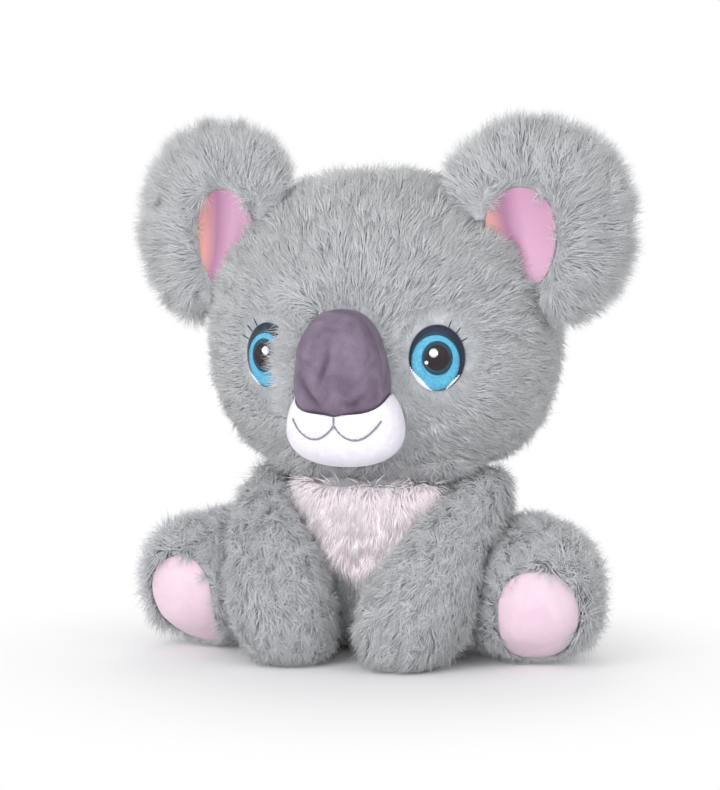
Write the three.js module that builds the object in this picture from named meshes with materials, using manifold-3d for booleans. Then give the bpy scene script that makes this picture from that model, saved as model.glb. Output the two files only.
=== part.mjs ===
// A sitting plush koala: sewn plush covers, each stuffed with loose polyester fibre, with a sewn-in
// bib, padded muzzle and nose, embroidered eyes and mouth, satin ear linings and velour foot pads.
// Lengths are millimetres. The toy sits on z = 0 and looks along -Y, so that its own left is +X.
import * as THREE from "three";
import { mergeVertices } from "three/addons/utils/BufferGeometryUtils.js";
import Module from "manifold-3d";

const wasm = await Module();
wasm.setup();

const LEFT = 1;
const RIGHT = -1;
const SIDES = { left: LEFT, right: RIGHT };

// Cloth: the plush's backing and pile together, and what stays free between two pieces that touch
const plushThickness = 5;
const seamGap = 0.4;
const cutGap = 0.9;
const fillingInset = plushThickness + cutGap;
const cutOverrun = 20;
const roomSize = 400;
const weldDistance = 1e-4;

// Head: half sizes from the plane of the cheeks, where it is widest
const headHalfWidth = 55;
const headHalfHeight = 49;
const faceDepth = 34;
const napeDepth = 43.5;
const headForward = 3.8;
const headTaperShare = 0.04;
const headFullness = 2.3;
const snoutRise = 5;
const snoutHalfWidth = 19;
const snoutHalfHeight = 20;
const snoutDrop = 15;

// Neck: the head's lowest point rests on the torso at this height, round an upright axis
const neckHeight = 48;
const neckRadius = 16.5;
const neckTurnAngle = 15;

// Torso: a pear that stands a little into the floor, so that its seat is cut flat
const seatRadius = 40.5;
const chestRadius = 30.5;
const torsoHeight = 83;
const torsoSink = 4.4;
const torsoBack = 4.4;
const torsoDepthShare = 0.86;
const torsoFullness = 2.4;

// Bib: the long-pile panel let into the front of the torso, a triangle that points down
const bibHalfWidth = 31.5;
const bibTip = 21.5;
const bibSideBow = 3.3;
const bibCurveSteps = 8;

// Arm: from the shoulder, where it swings, forward and down to the paw that stands on the floor
const armSpacingShare = 0.8;
const armSpacing = seatRadius * armSpacingShare;
const armRootBack = 6;
const armForward = 2.2;
const shoulderHeight = 48;
const shoulderRise = 8.7;
const shoulderRadius = 10.4;
const elbowOut = 2;
const elbowSpacing = armSpacing + elbowOut;
const elbowForward = 26;
const elbowHeight = 36;
const pawRadius = 19.5;
const pawSpacing = 10.5;
const pawForward = 44.5;
const pawSink = 1.2;
const armFullness = 2.7;
const armSeamShare = 0.5;
const armSeamRadius = 5.5;
const armSwingAngle = 25;

// Leg: from beside the seat out to the sole, splayed, and turning on an upright axis at the hip
const hipSpacing = 37;
const hipBack = 8.7;
const hipTuckShare = 0.25;
const thighRadius = 22.5;
const footRadius = 21;
const legBack = 20.5;
const soleForward = 35.5;
const soleSpacing = 57.5;
const legSink = 1.5;
const legFullness = 2.7;
const legSeamShare = 0.4;
const legSeamRadius = 9.8;
const legSpreadAngle = 12;

// Foot pad: a velour oval on the sole
const padHalfWidth = 11.9;
const padHalfHeight = 13.5;
const padThickness = 2.2;
const padSides = 32;
const padDrop = 3.3;

// Ear: a thick plush disc, scooped round a satin lining, folding about its sewn root
const earHalfWidth = 29.5;
const earHalfHeight = 31.5;
const earHalfThickness = 9.8;
const earFacingAngle = 15;
const earFoldAngle = 10;
const earFullness = 2.1;
const earOut = 49.5;
const earUp = 32;
const earForward = 7.6;
const liningHalfWidth = 10.9;
const liningHalfHeight = 16;
const liningThickness = 2;
const liningLeanAngle = 12;
const scoopDepth = 7.6;
const scoopRim = 4.4;
const liningInward = 3.8;
const liningDrop = 6;

// Muzzle and nose: padded ovals on the face
const muzzleHalfWidth = 18;
const muzzleHalfHeight = 14;
const muzzleRise = 11.4;
const muzzleDrop = 24.5;
const muzzleFullness = 2.3;
const noseHalfWidth = 13;
const noseHalfHeight = 16;
const noseRise = 12.5;
const noseDrop = 8.1;
const noseTaperShare = 0.24;
const noseFullness = 2.4;
const noseTiltAngle = 8;

// Mouth: one embroidered line of thread on the muzzle
const threadRadius = 0.55;
const mouthHalfWidth = 13.5;
const mouthDrop = 4.4;
const lipCurl = 1.3;
const philtrumLength = 5.5;
const lipsDrop = 0.9;
const lipSteps = 8;
const philtrumSteps = 2;
const threadCurveSteps = 3;

// Eye: three stitched layers at the bottom of a dimple in the pile
const eyeSpacing = 27;
const eyeDrop = 6.5;
const eyeHalfWidth = 8.3;
const eyeHalfHeight = 9.7;
const irisHalfWidth = 7;
const irisHalfHeight = 8.1;
const pupilRadius = 4.4;
const stitchLayer = 0.9;
const eyeInset = 4.4;
const dimpleSpare = 3.9;

// How finely each form is faceted, and the round bars of the sewn openings
const FINE = 5;
const MEDIUM = 4;
const COARSE = 3;
const ROUGH = 2;
const barSides = 20;
const fillingStartShare = 0.15;
const sweepSteps = 2;
const slopeStep = 2;
const ballFullness = 2;

const degrees = THREE.MathUtils.degToRad;
const UP = new THREE.Vector3(0, 0, 1);
const ACROSS = new THREE.Vector3(1, 0, 0);
const FORWARD = new THREE.Vector3(0, -1, 0);
const BACKWARD = new THREE.Vector3(0, 1, 0);

// A closed three.js geometry as a solid that can be joined and cut
function solidOf(geometry) {
  const bare = geometry.index ? geometry.toNonIndexed() : geometry.clone();
  bare.deleteAttribute("normal");
  bare.deleteAttribute("uv");
  const merged = mergeVertices(bare, weldDistance);
  return new wasm.Manifold(
    new wasm.Mesh({
      numProp: 3,
      vertProperties: new Float32Array(merged.attributes.position.array),
      triVerts: new Uint32Array(merged.index.array),
    }),
  );
}

function asSolid(shape) {
  return shape.isBufferGeometry ? solidOf(shape) : shape;
}

function geometryOf(solid) {
  const mesh = solid.getMesh();
  const geometry = new THREE.BufferGeometry();
  geometry.setAttribute("position", new THREE.BufferAttribute(mesh.vertProperties, 3));
  geometry.setIndex(new THREE.BufferAttribute(mesh.triVerts, 1));
  geometry.computeVertexNormals();
  return geometry;
}

// The unit ball's points pushed out towards a rounded box, as filling pushes a seamed cover
function plump(point, fullness) {
  const sum = [point.x, point.y, point.z].reduce((total, c) => total + Math.abs(c) ** fullness, 0);
  return point.multiplyScalar(sum ** (-1 / fullness));
}

function stuffed(detail, place) {
  const geometry = new THREE.IcosahedronGeometry(1, detail);
  const points = geometry.attributes.position;
  const point = new THREE.Vector3();
  for (let i = 0; i < points.count; i++) {
    place(point.fromBufferAttribute(points, i).normalize());
    points.setXYZ(i, point.x, point.y, point.z);
  }
  return geometry;
}

// How far the snout's pile stands out of the face at (x, z), counted from the head's centre
function snoutAt(x, z) {
  return snoutRise * Math.exp(-((x / snoutHalfWidth) ** 2) - ((z + snoutDrop) / snoutHalfHeight) ** 2);
}

// A stuffed cushion about its centre: half sizes across, to the front, to the back and in height
function cushion(form, grow = 0) {
  return stuffed(form.detail, (point) => {
    plump(point, form.fullness);
    const taper = 1 - (form.taperShare ?? 0) * point.z;
    point.x *= (form.across + grow) * taper;
    point.z *= form.height + grow;
    const swelling = form.hasSnout ? snoutAt(point.x, point.z) : 0;
    point.y *= (point.y < 0 ? form.front + swelling : form.back) + grow;
    point.applyQuaternion(form.turn ?? new THREE.Quaternion()).add(form.centre);
  });
}

function spineOf(form) {
  return new THREE.QuadraticBezierCurve3(form.root, form.bend, form.tip);
}

// A stuffed limb: round sections along a bent spine from root to tip, both ends of it included
function limb(form, grow = 0) {
  const spine = spineOf(form);
  const growShare = grow / spine.getLength();
  return stuffed(form.detail, (point) => {
    plump(point, form.fullness);
    const along = (1 + point.z) / 2 + growShare * point.z;
    const radius = THREE.MathUtils.lerp(form.rootRadius, form.tipRadius, along) + grow;
    const tangent = spine.getTangent(THREE.MathUtils.clamp(along, 0, 1));
    const side = ACROSS.clone().addScaledVector(tangent, -tangent.x).normalize();
    const top = tangent.clone().cross(side);
    const [x, y] = [point.x * radius, point.y * radius * (form.depthShare ?? 1)];
    point.copy(spine.getPoint(along)).addScaledVector(side, x).addScaledVector(top, y);
  });
}

// The obstacle as a hinged piece meets it on its way through the hinge's range
function swept(obstacle, hinge) {
  const [low, high] = hinge.range;
  const there = new THREE.Matrix4().makeTranslation(hinge.point);
  const here = there.clone().invert();
  return Array.from({ length: sweepSteps + 1 }, (_, i) => {
    const turn = low + ((high - low) * i) / sweepSteps;
    const back = new THREE.Matrix4().makeRotationAxis(hinge.axis, -degrees(turn));
    return obstacle.clone().applyMatrix4(there.clone().multiply(back).multiply(here));
  });
}

function cut(piece, obstacles) {
  const all = obstacles.flat(Infinity);
  return all.reduce((left, obstacle) => left.subtract(asSolid(obstacle)), asSolid(piece));
}

function join(first, second) {
  return asSolid(first).add(asSolid(second));
}

function overlap(first, second) {
  return asSolid(first).intersect(asSolid(second));
}

// Everything below the given height, and everything past the toy's middle on the other side
function below(height) {
  return new THREE.BoxGeometry(roomSize, roomSize, roomSize).translate(0, 0, height - roomSize / 2);
}

function beyondMiddle(side, gap) {
  const room = new THREE.BoxGeometry(roomSize, roomSize, roomSize);
  return room.translate(side * (gap - roomSize / 2), 0, 0);
}

// A round bar along Z, for the neck opening and the neck of filling that passes through it
function upright(radius, bottom, top) {
  const bar = new THREE.CylinderGeometry(radius, radius, top - bottom, barSides).rotateX(Math.PI / 2);
  return bar.translate(0, 0, (top + bottom) / 2);
}

// Head and the hinge that the neck seam makes
const headCentre = new THREE.Vector3(0, -headForward, neckHeight + headHalfHeight);
const headForm = {
  centre: headCentre,
  across: headHalfWidth,
  front: faceDepth,
  back: napeDepth,
  height: headHalfHeight,
  taperShare: headTaperShare,
  fullness: headFullness,
  hasSnout: true,
  detail: FINE,
};
const neck = { point: new THREE.Vector3(), axis: UP, range: [-neckTurnAngle, neckTurnAngle] };

// The head in every place that the neck lets it take, as the pieces beside it are cut to clear it
function headTurned(grow) {
  return swept(cushion({ ...headForm, detail: COARSE }, grow), neck);
}

function headBare(grow) {
  return cushion({ ...headForm, detail: COARSE }, grow);
}

// The point of the face in front of (x, z)
function facePoint(x, z) {
  const rise = z - headCentre.z;
  const across = Math.abs(x / headHalfWidth) ** headFullness;
  const up = Math.abs(rise / headHalfHeight) ** headFullness;
  const depth = (faceDepth + snoutAt(x, rise)) * (1 - across - up) ** (1 / headFullness);
  return new THREE.Vector3(x, headCentre.y - depth, z);
}

// The same point, with the turn that lays a piece flat on the face there
function onFace(x, z) {
  const point = facePoint(x, z);
  const across = facePoint(x + slopeStep, z).sub(facePoint(x - slopeStep, z));
  const up = facePoint(x, z + slopeStep).sub(facePoint(x, z - slopeStep));
  const normal = across.cross(up).normalize();
  return { point, turn: new THREE.Quaternion().setFromUnitVectors(FORWARD, normal) };
}

// Torso
const torsoForm = {
  root: new THREE.Vector3(0, torsoBack, -torsoSink),
  bend: new THREE.Vector3(0, torsoBack, torsoHeight / 2),
  tip: new THREE.Vector3(0, 0, torsoHeight),
  rootRadius: seatRadius,
  tipRadius: chestRadius,
  depthShare: torsoDepthShare,
  fullness: torsoFullness,
  detail: FINE,
};

// The bib's outline from the front, with sides that bow out a little, as deep as the front wall
function bibPrism(grow) {
  const top = torsoHeight + grow;
  const half = bibHalfWidth + grow;
  const tip = bibTip - grow;
  const outline = new THREE.Shape();
  outline.moveTo(-half, top);
  outline.lineTo(-half, neckHeight);
  outline.quadraticCurveTo(-half / 2 - bibSideBow, (neckHeight + tip) / 2, 0, tip);
  outline.quadraticCurveTo(half / 2 + bibSideBow, (neckHeight + tip) / 2, half, neckHeight);
  outline.lineTo(half, top);
  const depth = seatRadius + cutOverrun;
  const options = { depth, bevelEnabled: false, curveSegments: bibCurveSteps };
  return new THREE.ExtrudeGeometry(outline, options).rotateX(Math.PI / 2);
}

function torsoBare(grow) {
  return limb({ ...torsoForm, detail: COARSE }, grow);
}

function torsoPieces() {
  const neckHole = upright(neckRadius, neckHeight - cutOverrun, neckHeight + cutOverrun);
  const inner = { ...torsoForm, detail: COARSE };
  const cavity = cut(limb(inner, -plushThickness), [headTurned(plushThickness), below(plushThickness)]);
  const walls = cut(limb(torsoForm), [headTurned(cutGap), below(0), cavity, neckHole]);
  const neckOfFilling = upright(neckRadius - seamGap, neckHeight - cutOverrun, neckHeight - seamGap);
  const core = cut(limb(inner, -fillingInset), [headTurned(fillingInset), below(fillingInset)]);
  return {
    torso_cover: cut(walls, [bibPrism(seamGap)]),
    chest_bib: overlap(walls, bibPrism(0)),
    torso_filling: join(core, neckOfFilling),
  };
}

function headPieces(dimples) {
  const neckHole = upright(neckRadius, 0, headCentre.z);
  const neckOfFilling = upright(neckRadius - seamGap, neckHeight, headCentre.z);
  const backing = dimples.map((dimple) => dimple(plushThickness));
  const cavity = cut(headBare(-plushThickness), backing);
  const core = cut(headBare(-fillingInset), dimples.map((dimple) => dimple(fillingInset)));
  return {
    head_cover: cut(cushion(headForm), [cavity, dimples.map((dimple) => dimple(0)), neckHole]),
    head_filling: join(core, neckOfFilling),
  };
}

// Legs
function legForm(side) {
  const rootSpacing = hipSpacing - thighRadius * hipTuckShare;
  return {
    root: new THREE.Vector3(side * rootSpacing, legBack, thighRadius - legSink),
    bend: new THREE.Vector3((side * (hipSpacing + soleSpacing)) / 2, 0, thighRadius - legSink),
    tip: new THREE.Vector3(side * soleSpacing, -soleForward, footRadius - legSink),
    rootRadius: thighRadius,
    tipRadius: footRadius,
    fullness: legFullness,
    detail: MEDIUM,
  };
}

function hipHinge(side) {
  return {
    point: new THREE.Vector3(side * hipSpacing, hipBack, 0),
    axis: new THREE.Vector3(0, 0, side),
    range: [0, legSpreadAngle],
  };
}

// The rest of a limb, past the given share of its spine
function lowerPart(form, share) {
  return {
    ...form,
    root: spineOf(form).getPoint(share),
    bend: form.bend.clone().lerp(form.tip, share),
    rootRadius: THREE.MathUtils.lerp(form.rootRadius, form.tipRadius, share),
    detail: COARSE,
  };
}

// A cover and its filling, both shaped by the neighbours that the limb is sewn to or lies against.
// The cover is open where it is sewn on, and a plug of the filling stands in the opening. The
// filling starts below the limb's flat upper end, where the cloth is only folded together.
function stuffedLimb(form, neighbours, opening) {
  const stuffing = lowerPart(form, fillingStartShare);
  const cavity = cut(limb(stuffing, -plushThickness), [neighbours(plushThickness), below(plushThickness)]);
  const core = cut(limb(stuffing, -fillingInset), [neighbours(fillingInset), below(fillingInset)]);
  const plug = cut(overlap(opening(-seamGap), limb(stuffing, -fillingInset)), neighbours(2 * cutGap));
  return {
    cover: cut(limb(form), [neighbours(cutGap), below(0), cavity, opening(0)]),
    filling: join(core, plug),
  };
}

// The sewn opening of a limb: a round bar from inside the limb, level, to the torso's middle
function limbOpening(form, seamShare, radius) {
  const inside = spineOf(form).getPoint(seamShare);
  const out = new THREE.Vector3(inside.x, inside.y - torsoBack, 0);
  const length = out.length() + plushThickness;
  const bar = new THREE.CylinderGeometry(radius, radius, length, barSides).translate(0, length / 2, 0);
  bar.applyQuaternion(new THREE.Quaternion().setFromUnitVectors(BACKWARD, out.normalize()));
  return bar.translate(0, torsoBack, inside.z);
}

function legPieces(side) {
  const hinge = hipHinge(side);
  const neighbours = (grow) => [torsoBare(grow), headBare(grow)].map((obstacle) => swept(obstacle, hinge));
  const form = legForm(side);
  return stuffedLimb(form, neighbours, (grow) => limbOpening(form, legSeamShare, legSeamRadius + grow));
}

// The sole's middle, with the direction that it faces
function soleFace(side) {
  const form = legForm(side);
  const facing = spineOf(form).getTangent(1);
  return { point: form.tip, turn: new THREE.Quaternion().setFromUnitVectors(FORWARD, facing) };
}

// The pad follows the swell of the sole: an oval cut from a skin that lies on the leg's cover
function footPad(side) {
  const { point, turn } = soleFace(side);
  const column = new THREE.CylinderGeometry(1, 1, footRadius, padSides);
  column.scale(padHalfWidth, 1, padHalfHeight).applyQuaternion(turn);
  column.translate(point.x, point.y, point.z - padDrop);
  const leg = { ...legForm(side), detail: MEDIUM };
  const skin = cut(limb(leg, seamGap + padThickness), [limb(leg, seamGap), below(seamGap)]);
  return overlap(skin, column);
}

// Arms
function armForm(side) {
  return {
    root: new THREE.Vector3(side * armSpacing, armRootBack, shoulderHeight + shoulderRise),
    bend: new THREE.Vector3(side * elbowSpacing, -elbowForward, elbowHeight),
    tip: new THREE.Vector3(side * pawSpacing, -pawForward, -pawSink),
    rootRadius: shoulderRadius,
    tipRadius: pawRadius,
    fullness: armFullness,
    detail: MEDIUM,
  };
}

function shoulderHinge(side) {
  return {
    point: new THREE.Vector3(side * armSpacing, -armForward, shoulderHeight),
    axis: new THREE.Vector3(-1, 0, 0),
    range: [0, armSwingAngle],
  };
}

function armPieces(side) {
  const hinge = shoulderHinge(side);
  const neighbours = (grow) => {
    const leg = limb({ ...legForm(side), detail: COARSE }, grow);
    const around = [torsoBare(grow), leg, ...headTurned(grow)].map((obstacle) => swept(obstacle, hinge));
    return [...around, beyondMiddle(side, grow - seamGap)];
  };
  const form = armForm(side);
  return stuffedLimb(form, neighbours, (grow) => limbOpening(form, armSeamShare, armSeamRadius + grow));
}

// Ears
function earFrame(side) {
  const centre = new THREE.Vector3(side * earOut, -earForward, earUp).add(headCentre);
  const turn = new THREE.Quaternion().setFromAxisAngle(UP, side * degrees(earFacingAngle));
  return { centre, turn };
}

function earHinge(side) {
  const { centre } = earFrame(side);
  const outward = centre.clone().sub(headCentre).normalize();
  const axis = outward.clone().cross(FORWARD).normalize();
  const reach = Math.hypot(outward.x * headHalfWidth, outward.z * headHalfHeight);
  const point = headCentre.clone().addScaledVector(outward, reach);
  return { point, axis, range: [-earFoldAngle, earFoldAngle] };
}

function liningFrame(side) {
  const { centre, turn } = earFrame(side);
  const inward = new THREE.Vector3(-side * liningInward, 0, -liningDrop).applyQuaternion(turn);
  const lean = new THREE.Quaternion().setFromAxisAngle(FORWARD, side * degrees(liningLeanAngle));
  return { centre: centre.clone().add(inward), turn: turn.clone().multiply(lean) };
}

function earPieces(side) {
  const { centre, turn } = earFrame(side);
  const lining = liningFrame(side);
  const front = new THREE.Vector3(0, -earHalfThickness, 0).applyQuaternion(turn);
  const dish = (grow) => ({
    centre: lining.centre.clone().add(front),
    across: liningHalfWidth + scoopRim - grow,
    front: scoopDepth,
    back: scoopDepth - grow,
    height: liningHalfHeight + scoopRim - grow,
    fullness: ballFullness,
    turn: lining.turn,
    detail: COARSE,
  });
  const hinge = earHinge(side);
  const disc = cushion({
    centre,
    across: earHalfWidth,
    front: earHalfThickness,
    back: earHalfThickness,
    height: earHalfHeight,
    fullness: earFullness,
    turn,
    detail: MEDIUM,
  });
  const clear = swept(headBare(cutGap), hinge);
  const ear = cut(disc, [cushion(dish(0)), clear]);
  const outline = cushion({
    ...dish(0),
    across: liningHalfWidth,
    height: liningHalfHeight,
    back: scoopDepth + cutOverrun,
  });
  const bowl = cut(cushion(dish(seamGap)), [cushion(dish(seamGap + liningThickness))]);
  return { ear, lining: cut(overlap(bowl, outline), clear) };
}

// Muzzle and nose
const muzzleSeat = onFace(0, headCentre.z - muzzleDrop);
const muzzleForm = {
  centre: muzzleSeat.point,
  across: muzzleHalfWidth,
  front: muzzleRise,
  back: muzzleRise,
  height: muzzleHalfHeight,
  fullness: muzzleFullness,
  detail: MEDIUM,
};
const noseSeat = onFace(0, headCentre.z - noseDrop);
const noseForm = {
  centre: noseSeat.point,
  across: noseHalfWidth,
  front: noseRise,
  back: noseRise,
  height: noseHalfHeight,
  taperShare: noseTaperShare,
  fullness: noseFullness,
  turn: new THREE.Quaternion().setFromAxisAngle(ACROSS, degrees(noseTiltAngle)),
  detail: MEDIUM,
};

// The muzzle's surface in front of (x, z), lifted by the given clearance
function onMuzzle(x, z, lift) {
  const share = (value, half) => Math.abs(value / half) ** muzzleFullness;
  const { centre, across, height, front } = muzzleForm;
  const left = 1 - share(x, across + lift) - share(z - centre.z, height + lift);
  return new THREE.Vector3(x, centre.y - (front + lift) * Math.max(left, 0) ** (1 / muzzleFullness), z);
}

function threadAlong(points) {
  const section = new THREE.Shape().absarc(0, 0, threadRadius, 0, 2 * Math.PI);
  const path = new THREE.CatmullRomCurve3(points);
  const steps = points.length + 1;
  const options = { extrudePath: path, steps, curveSegments: threadCurveSteps, bevelEnabled: false };
  return new THREE.ExtrudeGeometry(section, options);
}

// Two lips that meet under the nose, and the short upright line between them
function mouth() {
  const lift = threadRadius + seamGap;
  const meeting = muzzleForm.centre.z - lipsDrop;
  const lip = (side) =>
    Array.from({ length: lipSteps + 1 }, (_, i) => {
      const share = i / lipSteps;
      const x = side * mouthHalfWidth * share;
      const z = meeting - mouthDrop * Math.sin(Math.PI * share) + lipCurl * share * share;
      return onMuzzle(x, z, lift);
    });
  const philtrum = Array.from({ length: philtrumSteps + 1 }, (_, i) => {
    const rise = (philtrumLength * i) / philtrumSteps;
    return onMuzzle(0, meeting + rise, lift);
  });
  const lips = join(threadAlong(lip(LEFT)), threadAlong(lip(RIGHT)));
  return join(lips, threadAlong(philtrum));
}

// Eyes: lenses that share a centre below the pile, each layer a rim of stitches proud of the last
function eyeLens(side, across, height, rise, detail = COARSE) {
  const { point, turn } = onFace(side * eyeSpacing, headCentre.z - eyeDrop);
  const inward = new THREE.Vector3(0, eyeInset, 0).applyQuaternion(turn);
  return cushion({
    centre: point.clone().add(inward),
    across,
    front: rise,
    back: stitchLayer,
    height,
    fullness: ballFullness,
    turn,
    detail,
  });
}

function eyePieces(side) {
  const eye = eyeLens(side, eyeHalfWidth, eyeHalfHeight, stitchLayer * 2);
  const eyeSkin = eyeLens(side, eyeHalfWidth + seamGap, eyeHalfHeight + seamGap, stitchLayer * 2 + seamGap);
  const irisRise = stitchLayer * 3 + seamGap;
  const iris = eyeLens(side, irisHalfWidth, irisHalfHeight, irisRise);
  const irisSkin = eyeLens(side, irisHalfWidth + seamGap, irisHalfHeight + seamGap, irisRise + seamGap);
  const pupilRise = stitchLayer * 4 + 2 * seamGap;
  const pupil = eyeLens(side, pupilRadius, pupilRadius, pupilRise, ROUGH);
  return { eye, iris: cut(iris, [eyeSkin]), pupil: cut(pupil, [irisSkin, eyeSkin]) };
}

// The round dimple in the pile that an eye lies in: grown, it is the wall of backing round it
function eyeDimple(side) {
  return (grow) => {
    const { point, turn } = onFace(side * eyeSpacing, headCentre.z - eyeDrop);
    const depth = eyeInset + dimpleSpare + grow;
    const bar = new THREE.CylinderGeometry(1, 1, depth + cutOverrun, barSides);
    bar.translate(0, (depth - cutOverrun) / 2, 0);
    bar.scale(eyeHalfWidth + 2 * seamGap + grow, 1, eyeHalfHeight + 2 * seamGap + grow);
    return bar.applyQuaternion(turn).translate(point.x, point.y, point.z);
  };
}

// Materials
const cloth = (color, roughness = 0.95) => new THREE.MeshStandardMaterial({ color, roughness, metalness: 0 });
const greyPlush = cloth(0x9da1a6);
const whitePlush = cloth(0xeee4ea);
const whiteVelour = cloth(0xf2eff7, 0.85);
const greyVelour = cloth(0x8a7a8b, 0.85);
const pinkVelour = cloth(0xf3d3e2, 0.8);
const pinkSatin = cloth(0xe6a9c0, 0.4);
const fibre = cloth(0xf4f4f2, 1);
const navyThread = cloth(0x16203f, 0.5);
const blueThread = cloth(0x4fa9d3, 0.5);
const blackThread = cloth(0x1c1420, 0.5);
const mouthThread = cloth(0x5f5b66, 0.6);

const koala = new THREE.Group();

function show(name, shape, material) {
  const mesh = new THREE.Mesh(geometryOf(asSolid(shape)), material);
  mesh.name = name;
  koala.add(mesh);
}

const torso = torsoPieces();
show("torso_cover", torso.torso_cover, greyPlush);
show("torso_filling", torso.torso_filling, fibre);
show("chest_bib", torso.chest_bib, whitePlush);

const head = headPieces([eyeDimple(LEFT), eyeDimple(RIGHT)]);
show("head_cover", head.head_cover, greyPlush);
show("head_filling", head.head_filling, fibre);

const faceSkin = cushion(headForm, seamGap);
show("muzzle", cut(cushion(muzzleForm), [faceSkin, cushion(noseForm, seamGap)]), whiteVelour);
show("nose", cut(cushion(noseForm), [faceSkin]), greyVelour);
show("mouth_stitch", cut(mouth(), [cushion(noseForm, seamGap)]), mouthThread);

for (const [word, side] of Object.entries(SIDES)) {
  const { eye, iris, pupil } = eyePieces(side);
  show(`${word}_eye`, eye, navyThread);
  show(`${word}_iris`, iris, blueThread);
  show(`${word}_pupil`, pupil, blackThread);

  const { ear, lining } = earPieces(side);
  show(`${word}_ear`, ear, greyPlush);
  show(`${word}_ear_lining`, lining, pinkSatin);

  const arm = armPieces(side);
  show(`${word}_arm_cover`, arm.cover, greyPlush);
  show(`${word}_arm_filling`, arm.filling, fibre);

  const leg = legPieces(side);
  show(`${word}_leg_cover`, leg.cover, greyPlush);
  show(`${word}_leg_filling`, leg.filling, fibre);
  show(`${word}_foot_pad`, footPad(side), pinkVelour);
}

export default koala;
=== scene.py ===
# %% [markdown]
# A small sitting plush koala. Its covers are sewn from grey plush and stuffed with loose fibre, and
# what the eye reads first is the pile: thousands of soft strands that lie in tufts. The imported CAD
# model gives every piece its place, so this lesson only dresses it: it grows each soft form again
# a pile's depth further in, and lets Geometry Nodes plant the strands that fill that depth.

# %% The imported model
import math
from functools import partial

import bmesh
import bpy
import numpy as np
from mathutils import Matrix, Vector
from mathutils.bvhtree import BVHTree


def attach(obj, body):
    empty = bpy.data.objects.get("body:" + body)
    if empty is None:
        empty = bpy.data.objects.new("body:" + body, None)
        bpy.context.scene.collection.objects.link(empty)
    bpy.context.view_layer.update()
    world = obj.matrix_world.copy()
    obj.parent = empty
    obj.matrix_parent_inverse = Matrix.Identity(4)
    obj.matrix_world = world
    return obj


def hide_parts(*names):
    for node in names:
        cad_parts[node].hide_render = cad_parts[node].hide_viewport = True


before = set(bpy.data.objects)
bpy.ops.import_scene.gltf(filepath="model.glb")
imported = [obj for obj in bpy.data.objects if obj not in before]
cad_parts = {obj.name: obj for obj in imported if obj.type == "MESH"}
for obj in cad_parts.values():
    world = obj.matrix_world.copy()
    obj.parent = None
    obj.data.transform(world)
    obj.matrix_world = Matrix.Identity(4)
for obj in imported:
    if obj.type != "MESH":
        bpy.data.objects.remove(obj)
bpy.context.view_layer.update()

scene = bpy.context.scene
MM = 0.001
SIDES = {"left": 1, "right": -1}

# %% [markdown]
# The camera stands where the photographer's did: a little to the toy's left and a little above it,
# far enough away for a long lens. The view transform is Standard, so that a colour comes out about
# as it is written in its material.

# %% Camera
scene.view_settings.view_transform = "Standard"
AZIMUTH, ELEVATION, DISTANCE = math.radians(18), math.radians(9.5), 0.763
AIM = Vector((-0.0117, 0.0097, 0.0764))
camera = bpy.data.objects.new("camera", bpy.data.cameras.new("camera"))
camera.location = DISTANCE * Vector((
    math.sin(AZIMUTH) * math.cos(ELEVATION), -math.cos(AZIMUTH) * math.cos(ELEVATION), math.sin(ELEVATION)))
camera.rotation_euler = (AIM - camera.location).to_track_quat("-Z", "Y").to_euler()
camera.data.lens = 112.2
camera.data.clip_start = 0.05
scene.collection.objects.link(camera)
scene.camera = camera

# %% [markdown]
# Node trees are wired by one small function, which adds a node, sets it up, and gives each input a
# value or a link. Colours are written as sRGB, the way a paint program shows them, and one function
# turns them into the linear numbers that the renderer counts in.

# %% Helpers for nodes and colours
def linear(code):
    """An sRGB hex colour as linear red, green, blue and alpha."""
    parts = [int(code[i:i + 2], 16) / 255 for i in (1, 3, 5)]
    return [p / 12.92 if p < 0.04045 else ((p + 0.055) / 1.055) ** 2.4 for p in parts] + [1.0]


def add(tree, kind, inputs=None, out=None, stops=(), **settings):
    """Adds a node with its settings, and a value or a link for each of the inputs.

    Gives back the node, or the output that out names. The stops of a colour ramp are pairs of
    (position, sRGB hex).
    """
    node = tree.nodes.new(kind)
    for name, value in settings.items():
        setattr(node, name, value)
    if stops:
        points = node.color_ramp.elements
        while len(points) < len(stops):
            points.new(0.5)
        for point, (place, code) in zip(points, stops):
            point.position, point.color = place, linear(code)
    for name, value in (inputs or {}).items():
        if isinstance(value, bpy.types.NodeSocket):
            tree.links.new(value, node.inputs[name])
        else:
            node.inputs[name].default_value = value
    return node if out is None else node.outputs[out]


def material(name, **sockets):
    """A new material with its shader's plain numbers set, and its node tree and shader."""
    made = bpy.data.materials.new(name)
    made.use_nodes = True
    shader = made.node_tree.nodes["Principled BSDF"]
    for socket, value in sockets.items():
        shader.inputs[socket.replace("_", " ")].default_value = value
    return made, made.node_tree, shader

# %% [markdown]
# The studio is plain: a pale floor that turns to pure white away from the toy, one large soft lamp
# high on the left of the camera, weaker ones low in front, on the right and behind, and an even
# sky. The white behind the toy comes from what the camera sees of the sky and floor, not from more
# light on the toy.

# %% Floor, sky and lamps
FADE_START, FADE_END = 0.03, 0.15  # metres from the toy where the floor starts and ends turning white
FADE_SHIFT = (0.0, 0.03, 0.0)      # that far in front of the origin lies the middle of the fade


def seen_directly(tree):
    """1 for what the camera sees itself or in a gloss, and 0 for light on its way to the toy."""
    path = add(tree, "ShaderNodeLightPath").outputs
    rays = {0: path["Is Camera Ray"], 1: path["Is Glossy Ray"]}
    return add(tree, "ShaderNodeMath", rays, 0, operation="MAXIMUM")


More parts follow.
